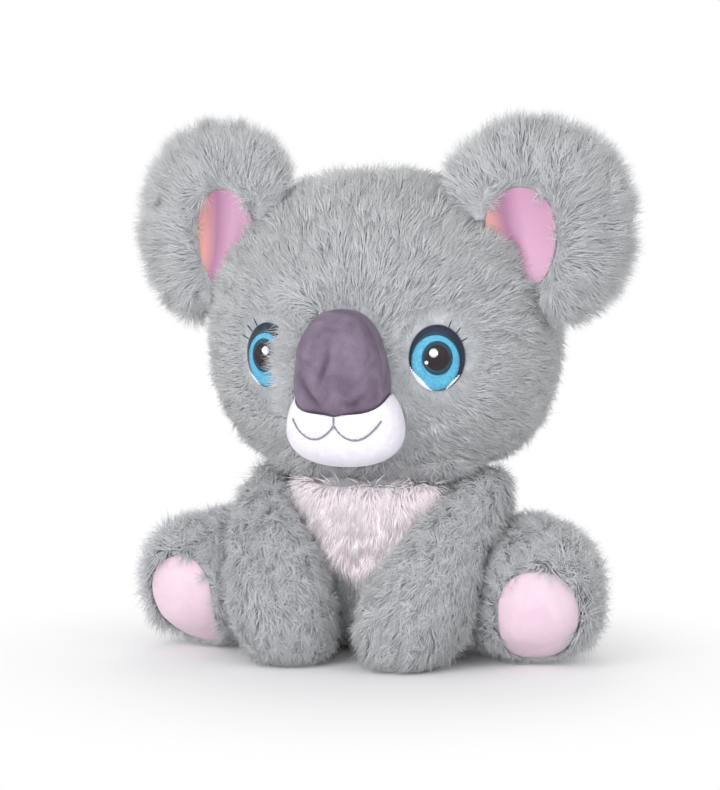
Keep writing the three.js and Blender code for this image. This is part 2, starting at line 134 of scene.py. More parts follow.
def floor_material():
    made, tree, shader = material("studio paper", Roughness=0.9)
    shader.inputs["Base Color"].default_value = linear("#F4F4F5")
    place = add(tree, "ShaderNodeTexCoord", out="Object")
    place = add(tree, "ShaderNodeVectorMath", {0: place, 1: FADE_SHIFT}, "Vector", operation="ADD")
    reach = add(tree, "ShaderNodeVectorMath", {0: place}, "Value", operation="LENGTH")
    far = add(tree, "ShaderNodeMapRange", {"Value": reach, "From Min": FADE_START, "From Max": FADE_END},
              "Result", interpolation_type="SMOOTHSTEP")
    white = add(tree, "ShaderNodeEmission", {"Color": (1, 1, 1, 1), "Strength": 1.0}, "Emission")
    share = add(tree, "ShaderNodeMath", {0: far, 1: seen_directly(tree)}, 0, operation="MULTIPLY")
    both = add(tree, "ShaderNodeMixShader", {0: share, 1: shader.outputs["BSDF"], 2: white}, "Shader")
    tree.links.new(both, tree.nodes["Material Output"].inputs["Surface"])
    return made


def flat_floor(half):
    mesh = bpy.data.meshes.new("floor")
    corners = [(-half, -half, 0), (half, -half, 0), (half, half, 0), (-half, half, 0)]
    mesh.from_pydata(corners, [], [(0, 1, 2, 3)])
    mesh.materials.append(floor_material())
    floor = bpy.data.objects.new("floor", mesh)
    scene.collection.objects.link(floor)


def sky(ambient):
    world = bpy.data.worlds.new("sky")
    world.use_nodes = True
    scene.world = world
    tree = world.node_tree
    back = tree.nodes["Background"].inputs
    limits = {"Value": seen_directly(tree), "To Min": ambient, "To Max": 1.0}
    strength = add(tree, "ShaderNodeMapRange", limits, "Result")
    tree.links.new(strength, back["Strength"])
    back["Color"].default_value = (1, 1, 1, 1)


def lamp(name, place, size, power):
    data = bpy.data.lights.new(name, "AREA")
    data.shape, data.size, data.energy = "DISK", size, power
    lit = bpy.data.objects.new(name, data)
    lit.location = place
    lit.rotation_euler = (Vector((0, 0, 0.08)) - lit.location).to_track_quat("-Z", "Y").to_euler()
    scene.collection.objects.link(lit)


flat_floor(half=1.5)
sky(ambient=0.62)
lamp("key softbox", Vector((-0.3, -1.0, 0.6)), size=0.8, power=5.8)
lamp("low softbox", Vector((0.25, -0.95, 0.1)), size=0.6, power=3.0)
lamp("side softbox", Vector((0.95, -0.4, 0.5)), size=0.7, power=1.6)
lamp("back softbox", Vector((-0.3, 1.0, 0.7)), size=0.7, power=3.0)

# %% [markdown]
# Every soft form of the toy follows one of two rules. A cushion is a ball pushed out towards a
# rounded box, as filling pushes a seamed cover. A limb is a row of round sections along a bent
# line. Both take an amount to grow by, so the same rule gives the tips of the pile (as in the CAD
# model) and the cloth that the pile grows from, a few millimetres further in.

# %% The two rules for a stuffed form, in millimetres
def ball(detail, kept={}):
    """The points and faces of a ball of radius 1, made once for each detail."""
    if detail not in kept:
        sphere = bmesh.new()
        bmesh.ops.create_icosphere(sphere, subdivisions=detail, radius=1)
        points = np.array([v.co for v in sphere.verts])
        kept[detail] = (points, [[v.index for v in f.verts] for f in sphere.faces])
        sphere.free()
    return kept[detail]


def plump(points, fullness):
    """Pushes a ball's points out: 2 keeps the ball, and a larger fullness comes nearer to a box."""
    return points * (np.abs(points) ** fullness).sum(1, keepdims=True) ** (-1 / fullness)


def snout_at(x, z):
    """How far the snout stands out of the face, counted from the head's centre."""
    return 5.0 * np.exp(-((x / 19.0) ** 2) - ((z + 15.0) / 20.0) ** 2)


def cushion(form, grow=0.0, detail=6):
    unit, faces = ball(detail)
    p = plump(unit, form["fullness"])
    x = p[:, 0] * (form["across"] + grow) * (1 - form.get("taper", 0) * p[:, 2])
    z = p[:, 2] * (form["height"] + grow)
    front = form["front"] + (snout_at(x, z) if form.get("snout") else 0)
    y = p[:, 1] * (np.where(p[:, 1] < 0, front, form["back"]) + grow)
    turn = np.array(form.get("turn", Matrix.Identity(3)))
    return np.stack([x, y, z], 1) @ turn.T + form["centre"], faces


def spine(form, t):
    """Points and directions of a limb's middle line at the shares t of it."""
    root, bend, tip = (np.array(form[k], float) for k in ("root", "bend", "tip"))
    t = np.asarray(t, float)[..., None]
    clamped = np.clip(t, 0, 1)
    along = (1 - t) ** 2 * root + 2 * t * (1 - t) * bend + t ** 2 * tip
    way = (1 - clamped) * (bend - root) + clamped * (tip - bend)
    return along, way / np.linalg.norm(way, axis=-1, keepdims=True)


def limb(form, grow=0.0, detail=6):
    unit, faces = ball(detail)
    p = plump(unit, form["fullness"])
    line = spine(form, np.linspace(0, 1, 60))[0]
    length = np.linalg.norm(np.diff(line, axis=0), axis=1).sum()
    t = (1 + p[:, 2]) / 2 + grow / length * p[:, 2]
    radius = (form["root_radius"] + (form["tip_radius"] - form["root_radius"]) * t + grow)[:, None]
    place, way = spine(form, t)
    side = np.array([1.0, 0, 0]) - way * way[:, :1]
    side /= np.linalg.norm(side, axis=1, keepdims=True)
    top = np.cross(way, side)
    return place + side * p[:, :1] * radius + top * p[:, 1:2] * radius * form.get("depth", 1), faces


# %% [markdown]
# These are the toy's forms, with the same numbers as the CAD model's source. The face point gives
# the place on the face in front of any spot, which seats the nose, the muzzle and the eyes.

# %% The toy's forms
HEAD = {"centre": np.array([0, -3.8, 97.0]), "across": 55, "front": 34, "back": 43.5, "height": 49,
        "taper": 0.04, "fullness": 2.3, "snout": True}
TORSO = {"root": (0, 4.4, -4.4), "bend": (0, 4.4, 41.5), "tip": (0, 0, 83), "root_radius": 40.5,
         "tip_radius": 30.5, "depth": 0.86, "fullness": 2.4}


def arm_form(side):
    return {"root": (side * 32.4, 6, 56.7), "bend": (side * 34.4, -26, 36),
            "tip": (side * 10.5, -44.5, -1.2),
            "root_radius": 10.4, "tip_radius": 19.5, "fullness": 2.7}


def leg_form(side):
    return {"root": (side * 31.4, 20.5, 21), "bend": (side * 47.25, 0, 21),
            "tip": (side * 57.5, -35.5, 19.5),
            "root_radius": 22.5, "tip_radius": 21, "fullness": 2.7}


def ear_form(side):
    return {"centre": HEAD["centre"] + (side * 49.5, -7.6, 32), "across": 29.5, "front": 9.8, "back": 9.8,
            "height": 31.5, "fullness": 2.1, "turn": Matrix.Rotation(side * math.radians(15), 3, "Z")}


def face_point(x, z):
    """The point of the face in front of (x, z), in millimetres."""
    rise = z - HEAD["centre"][2]
    f = HEAD["fullness"]
    left = 1 - abs(x / HEAD["across"]) ** f - abs(rise / HEAD["height"]) ** f
    front = (HEAD["front"] + snout_at(x, rise)) * left ** (1 / f)
    return np.array([x, HEAD["centre"][1] - front, z])


def on_face(x, z, step=2.0):
    """The face point with the axes of a piece that lies flat there: across, up and outward."""
    across = face_point(x + step, z) - face_point(x - step, z)
    up = face_point(x, z + step) - face_point(x, z - step)
    outward = np.cross(across, up)
    outward /= np.linalg.norm(outward)
    turn = Vector((0, -1, 0)).rotation_difference(Vector(outward)).to_matrix()
    return face_point(x, z), np.array(turn @ Vector((1, 0, 0))), np.array(turn @ Vector((0, 0, 1))), outward


# %% [markdown]
# A few tools turn those points into Blender objects. Meshes are cut with the boolean modifier, made
# even with a voxel remesh, and relaxed. Each modifier is applied at once, so that what later steps
# get is always a plain mesh whose object sits at the origin.

# %% Making, cutting and smoothing meshes
def thing(name, points, faces, finish=None):
    """A new object from points in millimetres."""
    mesh = bpy.data.meshes.new(name)
    mesh.from_pydata([tuple(p * MM) for p in np.asarray(points, float)], [], faces)
    mesh.update()
    made = bpy.data.objects.new(name, mesh)
    scene.collection.objects.link(made)
    if finish:
        mesh.materials.append(finish)
    return made


def settle(piece):
    """Replaces a piece's mesh by what its modifiers make of it."""
    graph = bpy.context.evaluated_depsgraph_get()
    made = bpy.data.meshes.new_from_object(piece.evaluated_get(graph), depsgraph=graph)
    old = piece.data
    piece.modifiers.clear()
    piece.data = made
    made.name = piece.name
    bpy.data.meshes.remove(old)
    return piece


def drop(*pieces):
    for piece in pieces:
        bpy.data.objects.remove(piece)


def carve(piece, shape, operation="DIFFERENCE"):
    """Cuts a piece by (points, faces), or keeps what they share."""
    tool = thing("tool", *shape)
    step = piece.modifiers.new("carve", "BOOLEAN")
    step.operation, step.object, step.solver = operation, tool, "MANIFOLD"
    settle(piece)
    drop(tool)
    return piece


def slab(low, high):
    """A box from one corner to the other, in millimetres."""
    corners = [[x, y, z] for x in (low[0], high[0]) for y in (low[1], high[1]) for z in (low[2], high[2])]
    return corners, [(0, 1, 3, 2), (4, 6, 7, 5), (0, 4, 5, 1), (2, 3, 7, 6), (0, 2, 6, 4), (1, 5, 7, 3)]


def even(piece, voxel, relax):
    """Gives a piece faces of one size, and relaxes its edges."""
    step = piece.modifiers.new("even", "REMESH")
    step.mode, step.voxel_size, step.use_smooth_shade = "VOXEL", voxel * MM, True
    if relax:
        smooth = piece.modifiers.new("relax", "SMOOTH")
        smooth.factor, smooth.iterations = 0.5, relax
    return settle(piece)


def finer(piece):
    """Splits each face in four and rounds the piece."""
    step = piece.modifiers.new("finer", "SUBSURF")
    step.levels = step.render_levels = 1
    return settle(piece)


def places(piece):
    """A piece's points and normals, in millimetres."""
    mesh = piece.data
    points, normals = np.empty(len(mesh.vertices) * 3), np.empty(len(mesh.vertices) * 3)
    mesh.vertices.foreach_get("co", points)
    mesh.vertex_normals.foreach_get("vector", normals)
    return points.reshape(-1, 3) / MM, normals.reshape(-1, 3)


def move_to(piece, points):
    """Puts a piece's points at these places, in millimetres."""
    piece.data.vertices.foreach_set("co", (np.asarray(points) * MM).ravel())
    piece.data.update()


def soft(lo, hi, x):
    """0 up to lo, 1 from hi on, and a smooth rise between them."""
    t = np.clip((np.asarray(x, float) - lo) / (hi - lo), 0, 1)
    return t * t * (3 - 2 * t)


# %% [markdown]
# Filling pushes a cover out until the cloth is taut, and gathers it where it is sewn down. A cloth
# simulation gives that by itself: the closed cover gets pressure from inside and no gravity. The
# whole movement is scaled to a short way, so the piece keeps the size that the CAD model gives it.

# %% Filling a cover by cloth simulation
FIRM = 6000.0    # the pressure of the filling, in newtons per square metre
LIGHT = 0.01     # the mass of a point of the cloth, in kilograms


def fill(piece, most, frames=18):
    """Blows a cover up for some frames, and scales the movement to that many millimetres at most."""
    before = places(piece)[0]
    cloth = piece.modifiers.new("filling", "CLOTH")
    cloth.settings.use_pressure = True
    cloth.settings.uniform_pressure_force = FIRM
    cloth.settings.effector_weights.gravity = 0
    cloth.settings.mass = LIGHT
    cloth.point_cache.frame_start, cloth.point_cache.frame_end = 1, frames
    for frame_now in range(1, frames + 1):
        scene.frame_set(frame_now)
    graph = bpy.context.evaluated_depsgraph_get()
    mesh = piece.evaluated_get(graph).data
    after = np.empty(len(mesh.vertices) * 3)
    mesh.vertices.foreach_get("co", after)
    piece.modifiers.clear()
    scene.frame_set(1)
    moved = after.reshape(-1, 3) / MM - before
    moved *= most / max(most, np.linalg.norm(moved, axis=1).max())
    move_to(piece, before + moved)
    far = np.linalg.norm(moved, axis=1)
    print(f"{piece.name} moved by the filling: {far.mean():.2f} mm, and {far.max():.2f} mm at most")
    return piece


# %% [markdown]
# Under the pile lies knitted backing cloth. Its grey is darker than the pile's: painted shade that
# shows as depth between the tufts. The head is the largest cover and is made first. Each later cover is cut
# to clear those
# before it, so no cover passes through another. The torso stays a little further from the head,
# so that the head can turn.

# %% Backing cloth of the covers
def backing_material(name, dark, light):
    """A fine knit: matt, and blotchy at the size of a few loops, about 4 mm."""
    made, tree, shader = material(name, Roughness=1.0, Specular_IOR_Level=0.1)
    place = add(tree, "ShaderNodeTexCoord", out="Object")
    blotch = add(tree, "ShaderNodeTexNoise", {"Vector": place, "Scale": 260.0, "Detail": 3.0}, "Fac")
    tint = add(tree, "ShaderNodeValToRGB", {"Fac": blotch}, "Color", stops=[(0.35, dark), (0.65, light)])
    tree.links.new(tint, shader.inputs["Base Color"])
    return made


# The grey backing's darker tone is painted shade between the tufts
shaded_grey_backing = backing_material("knitted backing, grey", "#B0B3B8", "#C6C8CC")
white_backing = backing_material("knitted backing, white", "#F1E8EE", "#FAF4F7")

# All in millimetres
PILE = 3.3        # how far the backing lies inside the tips of the pile
PUFF = 0.5        # how far the filling may push a backing out
APART = 1.2       # what stays free between two backings
NECK = 2.2        # what stays free between the head and the torso
EAR_ROOT = 1.8    # what stays free between the head and an ear
BETWEEN = 0.8     # what stays free between an arm and the toy's middle
FLOOR_PILE = 1.3  # the flattened pile under the seat
FAR = 200         # further out than any point of the toy


def cover(name, shape, others, voxel):
    """A backing: a form cut by the others and by the floor, with even faces, filled and rounded."""
    made = thing(name, *shape, shaded_grey_backing)
    for other in others:
        carve(made, other)
    carve(made, slab((-FAR, -FAR, FLOOR_PILE), (FAR, FAR, 2 * FAR)), "INTERSECT")
    even(made, voxel, relax=3)
    fill(made, PUFF)
    return finer(made)


clear_head = cushion(HEAD, APART - PILE, 5)
clear_torso = limb(TORSO, APART - PILE, 5)
skins = {"head": cover("head_skin", cushion(HEAD, -PILE), [], voxel=3.4)}
skins["torso"] = cover("torso_skin", limb(TORSO, -PILE), [cushion(HEAD, NECK - PILE, 5)], voxel=3.0)
for word, side in SIDES.items():
    leg, arm = leg_form(side), arm_form(side)
    body = f"{word}_leg"
    skins[body] = cover(f"{body}_skin", limb(leg, -PILE), [clear_head, clear_torso], voxel=2.6)
    edges = sorted((side * BETWEEN, -side * FAR))
    past_middle = slab((edges[0], -FAR, -FAR / 4), (edges[1], FAR, FAR))
    body = f"{word}_arm"
    skins[body] = cover(f"{body}_skin", limb(arm, -PILE),
                        [clear_head, clear_torso, limb(leg, APART - PILE, 5), past_middle], voxel=2.2)
head_skin, torso_skin = skins["head"], skins["torso"]
for body, skin in skins.items():
    points = places(skin)[0]
    print(skin.name, len(skin.data.polygons), "faces, from",
          points.min(0).round(1), "to", points.max(0).round(1))

# %% [markdown]
# The pile is what makes the toy. One tuft of real plush holds hundreds of fine fibres, so each
# strand here stands for a few of them: a closed spindle with three sides, a quarter of a millimetre
# wide, which costs six triangles. Geometry Nodes scatter the strands over the backing. Three values
# painted on the backing steer them: comb (which way the pile lies), reach (how long it is) and
# cover (how dense). A noise as large as a tuft turns neighbours the same way, which makes tufts.

# %% Node tree: pile
PILE_INPUTS = {"Strands per square mm": 4.6, "Pile length mm": 6.5, "Strand width mm": 0.25, "Bend": 0.5,
               "Lean": 0.9, "Tuft size mm": 5.0, "Tufting": 0.6, "Looseness": 0.25, "Seed": 1}
WIDEST = 0.35                   # the share of its length at which a strand is widest
SHORTEST, LONGEST = 0.75, 1.05  # how uneven the strands are
SWIRL = 4.0                     # how far the noise turns a tuft at full tufting
STANDS = 0.3                    # how far a strand stands out of the cloth at least, against its lean
FLOOR_GAP = 0.0002              # metres between the floor and the lowest strand
MATH, VECTOR, CHANCE = "ShaderNodeMath", "ShaderNodeVectorMath", "FunctionNodeRandomValue"
STORE, PAINTED = "GeometryNodeStoreNamedAttribute", "GeometryNodeInputNamedAttribute"


def new_tree(name, inputs, given, made):
    """A node tree with one geometry in and one out, named inputs for its sizes, and a finish."""
    tree = bpy.data.node_groups.new(name, "GeometryNodeTree")
    face = tree.interface
    face.new_socket(given, in_out="INPUT", socket_type="NodeSocketGeometry")
    for size, value in inputs.items():
        kind = "NodeSocketInt" if isinstance(value, int) else "NodeSocketFloat"
        face.new_socket(size, in_out="INPUT", socket_type=kind).default_value = value
    face.new_socket("Finish", in_out="INPUT", socket_type="NodeSocketMaterial")
    face.new_socket(made, in_out="OUTPUT", socket_type="NodeSocketGeometry")
    return tree, tree.nodes.new("NodeGroupInput").outputs, tree.nodes.new("NodeGroupOutput").inputs


def pile_tree():
    tree, given, ends = new_tree("pile", PILE_INPUTS, "Backing", "Pile")
    node = partial(add, tree)

    # One strand, standing on its point: two cones without caps
    length = node(MATH, {0: given["Pile length mm"], 1: MM}, 0, operation="MULTIPLY")
    radius = node(MATH, {0: given["Strand width mm"], 1: MM / 2}, 0, operation="MULTIPLY")
    below = node(MATH, {0: length, 1: WIDEST}, 0, operation="MULTIPLY")
    above = node(MATH, {0: length, 1: 1 - WIDEST}, 0, operation="MULTIPLY")
    top = node("GeometryNodeMeshCone", {"Vertices": 3, "Radius Bottom": radius, "Radius Top": 0.0,
               "Depth": above}, "Mesh", fill_type="NONE")
    low = node("GeometryNodeMeshCone", {"Vertices": 3, "Radius Bottom": 0.0, "Radius Top": radius,
               "Depth": below}, "Mesh", fill_type="NONE")
    lift = node("ShaderNodeCombineXYZ", {"Z": below}, "Vector")
    top = node("GeometryNodeTransform", {"Geometry": top, "Translation": lift}, "Geometry")
    both = node("GeometryNodeJoinGeometry")
    tree.links.new(top, both.inputs[0])
    tree.links.new(low, both.inputs[0])
    strand = node("GeometryNodeMergeByDistance", {"Geometry": both.outputs[0], "Distance": 1e-6}, 0)
    at = node("ShaderNodeSeparateXYZ", {0: node("GeometryNodeInputPosition", out=0)}).outputs
    along = node(MATH, {0: at["Z"], 1: length}, 0, operation="DIVIDE")
    around = node(MATH, {0: at["X"], 1: radius}, 0, operation="DIVIDE")
    for name, value in (("along", along), ("around", around)):
        strand = node(STORE, {"Geometry": strand, "Name": name, "Value": value}, "Geometry",
                      data_type="FLOAT", domain="POINT")
    squared = node(MATH, {0: along, 1: along}, 0, operation="MULTIPLY")
    bend = node(MATH, {0: length, 1: given["Bend"]}, 0, operation="MULTIPLY")
    bow = node(MATH, {0: squared, 1: bend}, 0, operation="MULTIPLY")
    offset = node("ShaderNodeCombineXYZ", {"X": bow}, "Vector")
    strand = node("GeometryNodeSetPosition", {"Geometry": strand, "Offset": offset}, "Geometry")

    # Where the strands stand
    full = node(MATH, {0: given["Strands per square mm"], 1: 1 / MM ** 2}, 0, operation="MULTIPLY")
    cover_share = node(PAINTED, {"Name": "cover"}, "Attribute", data_type="FLOAT")
    density = node(MATH, {0: full, 1: cover_share}, 0, operation="MULTIPLY")
    spread = node("GeometryNodeDistributePointsOnFaces",
                  {"Mesh": given["Backing"], "Density": density, "Seed": given["Seed"]},
                  distribute_method="RANDOM").outputs
    here = node("GeometryNodeInputPosition", out=0)

    # Which way each one lies: as it is combed, with its tuft, and a little by chance
    comb = node(PAINTED, {"Name": "comb"}, "Attribute", data_type="FLOAT_VECTOR")
    comb = node(VECTOR, {0: comb, "Scale": given["Lean"]}, "Vector", operation="SCALE")
    finely = node(MATH, {0: 1 / MM, 1: given["Tuft size mm"]}, 0, operation="DIVIDE")
    tuft = node("ShaderNodeTexNoise", {"Vector": here, "Detail": 1.0, "Scale": finely}, "Color")
    swirl = node(VECTOR, {0: tuft, 1: (0.5, 0.5, 0.5)}, "Vector", operation="SUBTRACT")
    force = node(MATH, {0: given["Tufting"], 1: SWIRL}, 0, operation="MULTIPLY")
    swirl = node(VECTOR, {0: swirl, "Scale": force}, "Vector", operation="SCALE")
    stray = node(CHANCE, {0: (-1, -1, -1), 1: (1, 1, 1), "Seed": 11}, 0, data_type="FLOAT_VECTOR")
    stray = node(VECTOR, {0: stray, "Scale": given["Looseness"]}, "Vector", operation="SCALE")
    way = node(VECTOR, {0: comb, 1: swirl}, "Vector", operation="ADD")
    way = node(VECTOR, {0: way, 1: stray}, "Vector", operation="ADD")
    # The more this would point a strand into the cloth, the more the strand is raised
    inward = node(VECTOR, {0: way, 1: spread["Normal"]}, "Value", operation="DOT_PRODUCT")
    inward = node(MATH, {0: inward, 1: -1.0}, 0, operation="MULTIPLY")
    least = node(MATH, {0: inward, 1: STANDS}, 0, operation="ADD")
    least = node(MATH, {0: 1.0, 1: least}, 0, operation="MAXIMUM")
    upright = node(VECTOR, {0: spread["Normal"], "Scale": least}, "Vector", operation="SCALE")
    upright = node(VECTOR, {0: upright, 1: way}, "Vector", operation="ADD")
    turn = node("FunctionNodeAxesToRotation", {0: upright, 1: way}, 0, primary_axis="Z", secondary_axis="X")
    uneven = node(CHANCE, {2: SHORTEST, 3: LONGEST, "Seed": 12}, 1, data_type="FLOAT")
    reach = node(PAINTED, {"Name": "reach"}, "Attribute", data_type="FLOAT")
    size = node(MATH, {0: uneven, 1: reach}, 0, operation="MULTIPLY")

    # Each strand's shade: half is chance, and half is shared with its neighbours as painted shade of clumps
    own = node(CHANCE, {2: 0.0, 3: 1.0, "Seed": 13}, 1, data_type="FLOAT")
    own = node(MATH, {0: own, 1: 0.5}, 0, operation="MULTIPLY")
    clump_shade = node("ShaderNodeTexNoise", {"Vector": here, "Detail": 2.0, "Scale": 120.0}, "Fac")
    clump_shade = node(MATH, {0: clump_shade, 1: 0.5}, 0, operation="MULTIPLY")
    shade = node(MATH, {0: own, 1: clump_shade}, 0, operation="ADD")
    points = node(STORE, {"Geometry": spread["Points"], "Name": "shade", "Value": shade}, "Geometry",
                  data_type="FLOAT", domain="POINT")
    pile = node("GeometryNodeInstanceOnPoints",
                {"Points": points, "Instance": strand, "Rotation": turn, "Scale": size}, "Instances")
    pile = node("GeometryNodeRealizeInstances", {"Geometry": pile}, "Geometry")

    # The floor flattens what would pass through it
    spot = node("ShaderNodeSeparateXYZ", {0: here}).outputs
    height = node(MATH, {0: spot["Z"], 1: FLOOR_GAP}, 0, operation="MAXIMUM")
    clear = node("ShaderNodeCombineXYZ", {"X": spot["X"], "Y": spot["Y"], "Z": height}, "Vector")
    pile = node("GeometryNodeSetPosition", {"Geometry": pile, "Position": clear}, "Geometry")

    # The strand's map: its shade runs across, and the way from root to tip runs up
    shade, around, along = (node(PAINTED, {"Name": name}, "Attribute", data_type="FLOAT")
                            for name in ("shade", "around", "along"))
    shade = node(MATH, {0: shade, 1: 0.94}, 0, operation="MULTIPLY")
    around = node(MATH, {0: around, 1: 0.012}, 0, operation="MULTIPLY")
    u = node(MATH, {0: shade, 1: around}, 0, operation="ADD")
    u = node(MATH, {0: u, 1: 0.03}, 0, operation="ADD")
    v = node(MATH, {0: along, 1: 0.94}, 0, operation="MULTIPLY")
    v = node(MATH, {0: v, 1: 0.03}, 0, operation="ADD")
    flat = node("ShaderNodeCombineXYZ", {"X": u, "Y": v}, "Vector")
    pile = node(STORE, {"Geometry": pile, "Name": "OFBake", "Value": flat}, "Geometry",
                data_type="FLOAT2", domain="CORNER")
    for name in ("shade", "around", "along", "comb", "reach", "cover"):
        pile = node("GeometryNodeRemoveAttribute", {"Geometry": pile, "Name": name}, "Geometry")
    pile = node("GeometryNodeSetShadeSmooth", {"Geometry": pile}, "Geometry")
    pile = node("GeometryNodeSetMaterial", {"Geometry": pile, "Material": given["Finish"]}, "Geometry")
    tree.links.new(pile, ends["Pile"])
    return tree


PLANTING = pile_tree()
print("pile tree:", len(PLANTING.nodes), "nodes")

# %% [markdown]
# The strands are acrylic fibre: matt, with a sheen where light grazes them, and never all of one
# shade. The material reads the strand's own map. Across it runs the strand's shade, from the darkest
# fibre to the palest, and up it runs the way from root to tip, where the roots are darker: painted
# shade deep in the pile.

# %% Strand materials
def strand_material(name, shades, root, sheen):
    made, tree, shader = material(name, Roughness=0.75, Specular_IOR_Level=0.25,
                                  Sheen_Weight=sheen, Sheen_Roughness=0.5)
    across = add(tree, "ShaderNodeSeparateXYZ", {0: add(tree, "ShaderNodeTexCoord", out="UV")}).outputs
    tint = add(tree, "ShaderNodeValToRGB", {"Fac": across["X"]}, "Color", stops=shades)
    # Painted shade: each strand is darker towards its root, deep in the pile
    root_shade_stops = [(0.08, root), (0.5, "#F2F2F2"), (0.85, "#FFFFFF")]
    depth = add(tree, "ShaderNodeValToRGB", {"Fac": across["Y"]}, "Color", stops=root_shade_stops)
    colour = add(tree, "ShaderNodeMix", {0: 1.0, 6: tint, 7: depth}, 2,
                 data_type="RGBA", blend_type="MULTIPLY")
    tree.links.new(colour, shader.inputs["Base Color"])
    return made


GREYS = [(0.2, "#CBCED2"), (0.42, "#D9DBDF"), (0.6, "#E4E6E9"), (0.85, "#F6F7F9")]
WHITES = [(0.2, "#FDEEF5"), (0.5, "#FFF8FC"), (0.8, "#FFFFFF")]
grey_pile = strand_material("acrylic pile, marled grey", GREYS, root="#D4D6D9", sheen=0.6)
white_pile = strand_material("acrylic pile, white", WHITES, root="#FFF8FB", sheen=1.0)
# Painted light: a little glow on the white pile, standing in for light scattered between its fibres
painted_glow = white_pile.node_tree.nodes["Principled BSDF"].inputs
painted_glow["Emission Color"].default_value = linear("#FFEFF6")
painted_glow["Emission Strength"].default_value = 0.17

# %% [markdown]
# Painting the three steering values takes a little geometry. The pile of the head runs away from
# the nose and hangs down behind. It runs down the torso, along each limb, and out from the middle
# of each ear. It is shorter where another cover presses on it, and there is none under the nose,
# the muzzle, the eyes, the pads and the linings.

# %% Painting comb, reach and cover
def along_surface(way, normals):
    """The part of a direction that runs along the surface, one unit long."""
    way = way - normals * (way * normals).sum(1, keepdims=True)
    return way / np.maximum(np.linalg.norm(way, axis=1, keepdims=True), 1e-6)


def tree_of(piece):
    """A search tree of a piece's faces, in metres."""
    points = [v.co for v in piece.data.vertices]
    return BVHTree.FromPolygons(points, [f.vertices[:] for f in piece.data.polygons])


def struck(piece, start, way):
    """Where a straight line from start, in millimetres, first meets a piece."""
    return np.array(tree_of(piece).ray_cast(Vector(start * MM), Vector(way))[0]) / MM


def crowding(points, others):
    """How far each point is from the nearest of the other covers, in millimetres."""
    nearest = np.full(len(points), 100.0)
    for other in others:
        tree = tree_of(other)
        found = [tree.find_nearest(Vector(p * MM))[3] for p in points]
        nearest = np.minimum(nearest, np.array(found) / MM)
    return nearest


def paint(piece, **values):
    """Paints a number or a direction on each point of a piece."""
    for name, value in values.items():
        value = np.asarray(value, np.float32)
        kind = "FLOAT_VECTOR" if value.ndim == 2 else "FLOAT"
        layer = piece.data.attributes.get(name) or piece.data.attributes.new(name, kind, "POINT")
        layer.data.foreach_set("vector" if value.ndim == 2 else "value", value.ravel())


def zone(piece, name, keep):
    """A copy of the part of a backing where keep(middles of its faces, in millimetres) is true."""
    part = bpy.data.objects.new(name, piece.data.copy())
    scene.collection.objects.link(part)
    shape = bmesh.new()
    shape.from_mesh(part.data)
    middles = np.array([f.calc_center_median() for f in shape.faces]) / MM
    gone = [f for f, kept in zip(shape.faces, keep(middles)) if not kept]
    bmesh.ops.delete(shape, geom=gone, context="FACES")
    shape.to_mesh(part.data)
    shape.free()
    return part


def grow(piece, tree, values):
    """Runs a node tree on a piece, with its inputs set by name, and keeps the mesh that it makes."""
    step = piece.modifiers.new(tree.name, "NODES")
    step.node_group = tree
    for socket in tree.interface.items_tree:
        if socket.in_out == "INPUT" and socket.name in values:
            step[socket.identifier] = values[socket.name]
    return settle(piece)


def whole(middles):
    return np.ones(len(middles), bool)


def plant(name, backing, body, finish, seed, sizes, part=whole):
    """Plants the pile on a backing, or on a part of it, as one piece that rides on the body."""
    piece = zone(backing, name, part)
    grow(piece, PLANTING, dict(PILE_INPUTS, **sizes, Seed=seed, Finish=finish))
    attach(piece, body)
    print(name, len(piece.data.polygons), "triangles,", len(piece.data.polygons) // 6, "strands")
    return piece


OUTSIDE = 9  # the edge value of points behind a form, where its outline doesn't count


def inside_oval(x, z, across, height, fullness=2.0):
    """Below 0 inside an oval, 0 on it, and 1 at twice its size."""
    return (np.abs(x / across) ** fullness + np.abs(z / height) ** fullness) ** (1 / fullness) - 1

# %% [markdown]
# The eyes, nose and muzzle have to be known before the head's pile is planted, because the pile
# stops at their edges and leans away from them. Each is a stuffed or stitched form with its own
# seat on the face.

# %% Seats on the face
MUZZLE = {"centre": face_point(0, 72.3), "across": 17.6, "front": 11.4, "back": 11.4, "height": 13.8,
          "taper": 0.13, "fullness": 2.3}
NOSE = {"centre": face_point(0, 88.9), "across": 13, "front": 12.5, "back": 12.5, "height": 15.8,
        "taper": 0.25, "fullness": 2.75, "turn": Matrix.Rotation(math.radians(8), 3, "X")}
EYE_WIDE, EYE_HIGH = 8.3, 9.7
EYES = {}
OVERGROWN = {"left": 0.1, "right": 1.15}  # the toy was brushed over one eye more than over the other
for word, side in SIDES.items():
    spot, across, up, outward = on_face(side * 27, 90.5)
    EYES[word] = (struck(head_skin, spot + 20 * outward, -outward), across, up, outward)


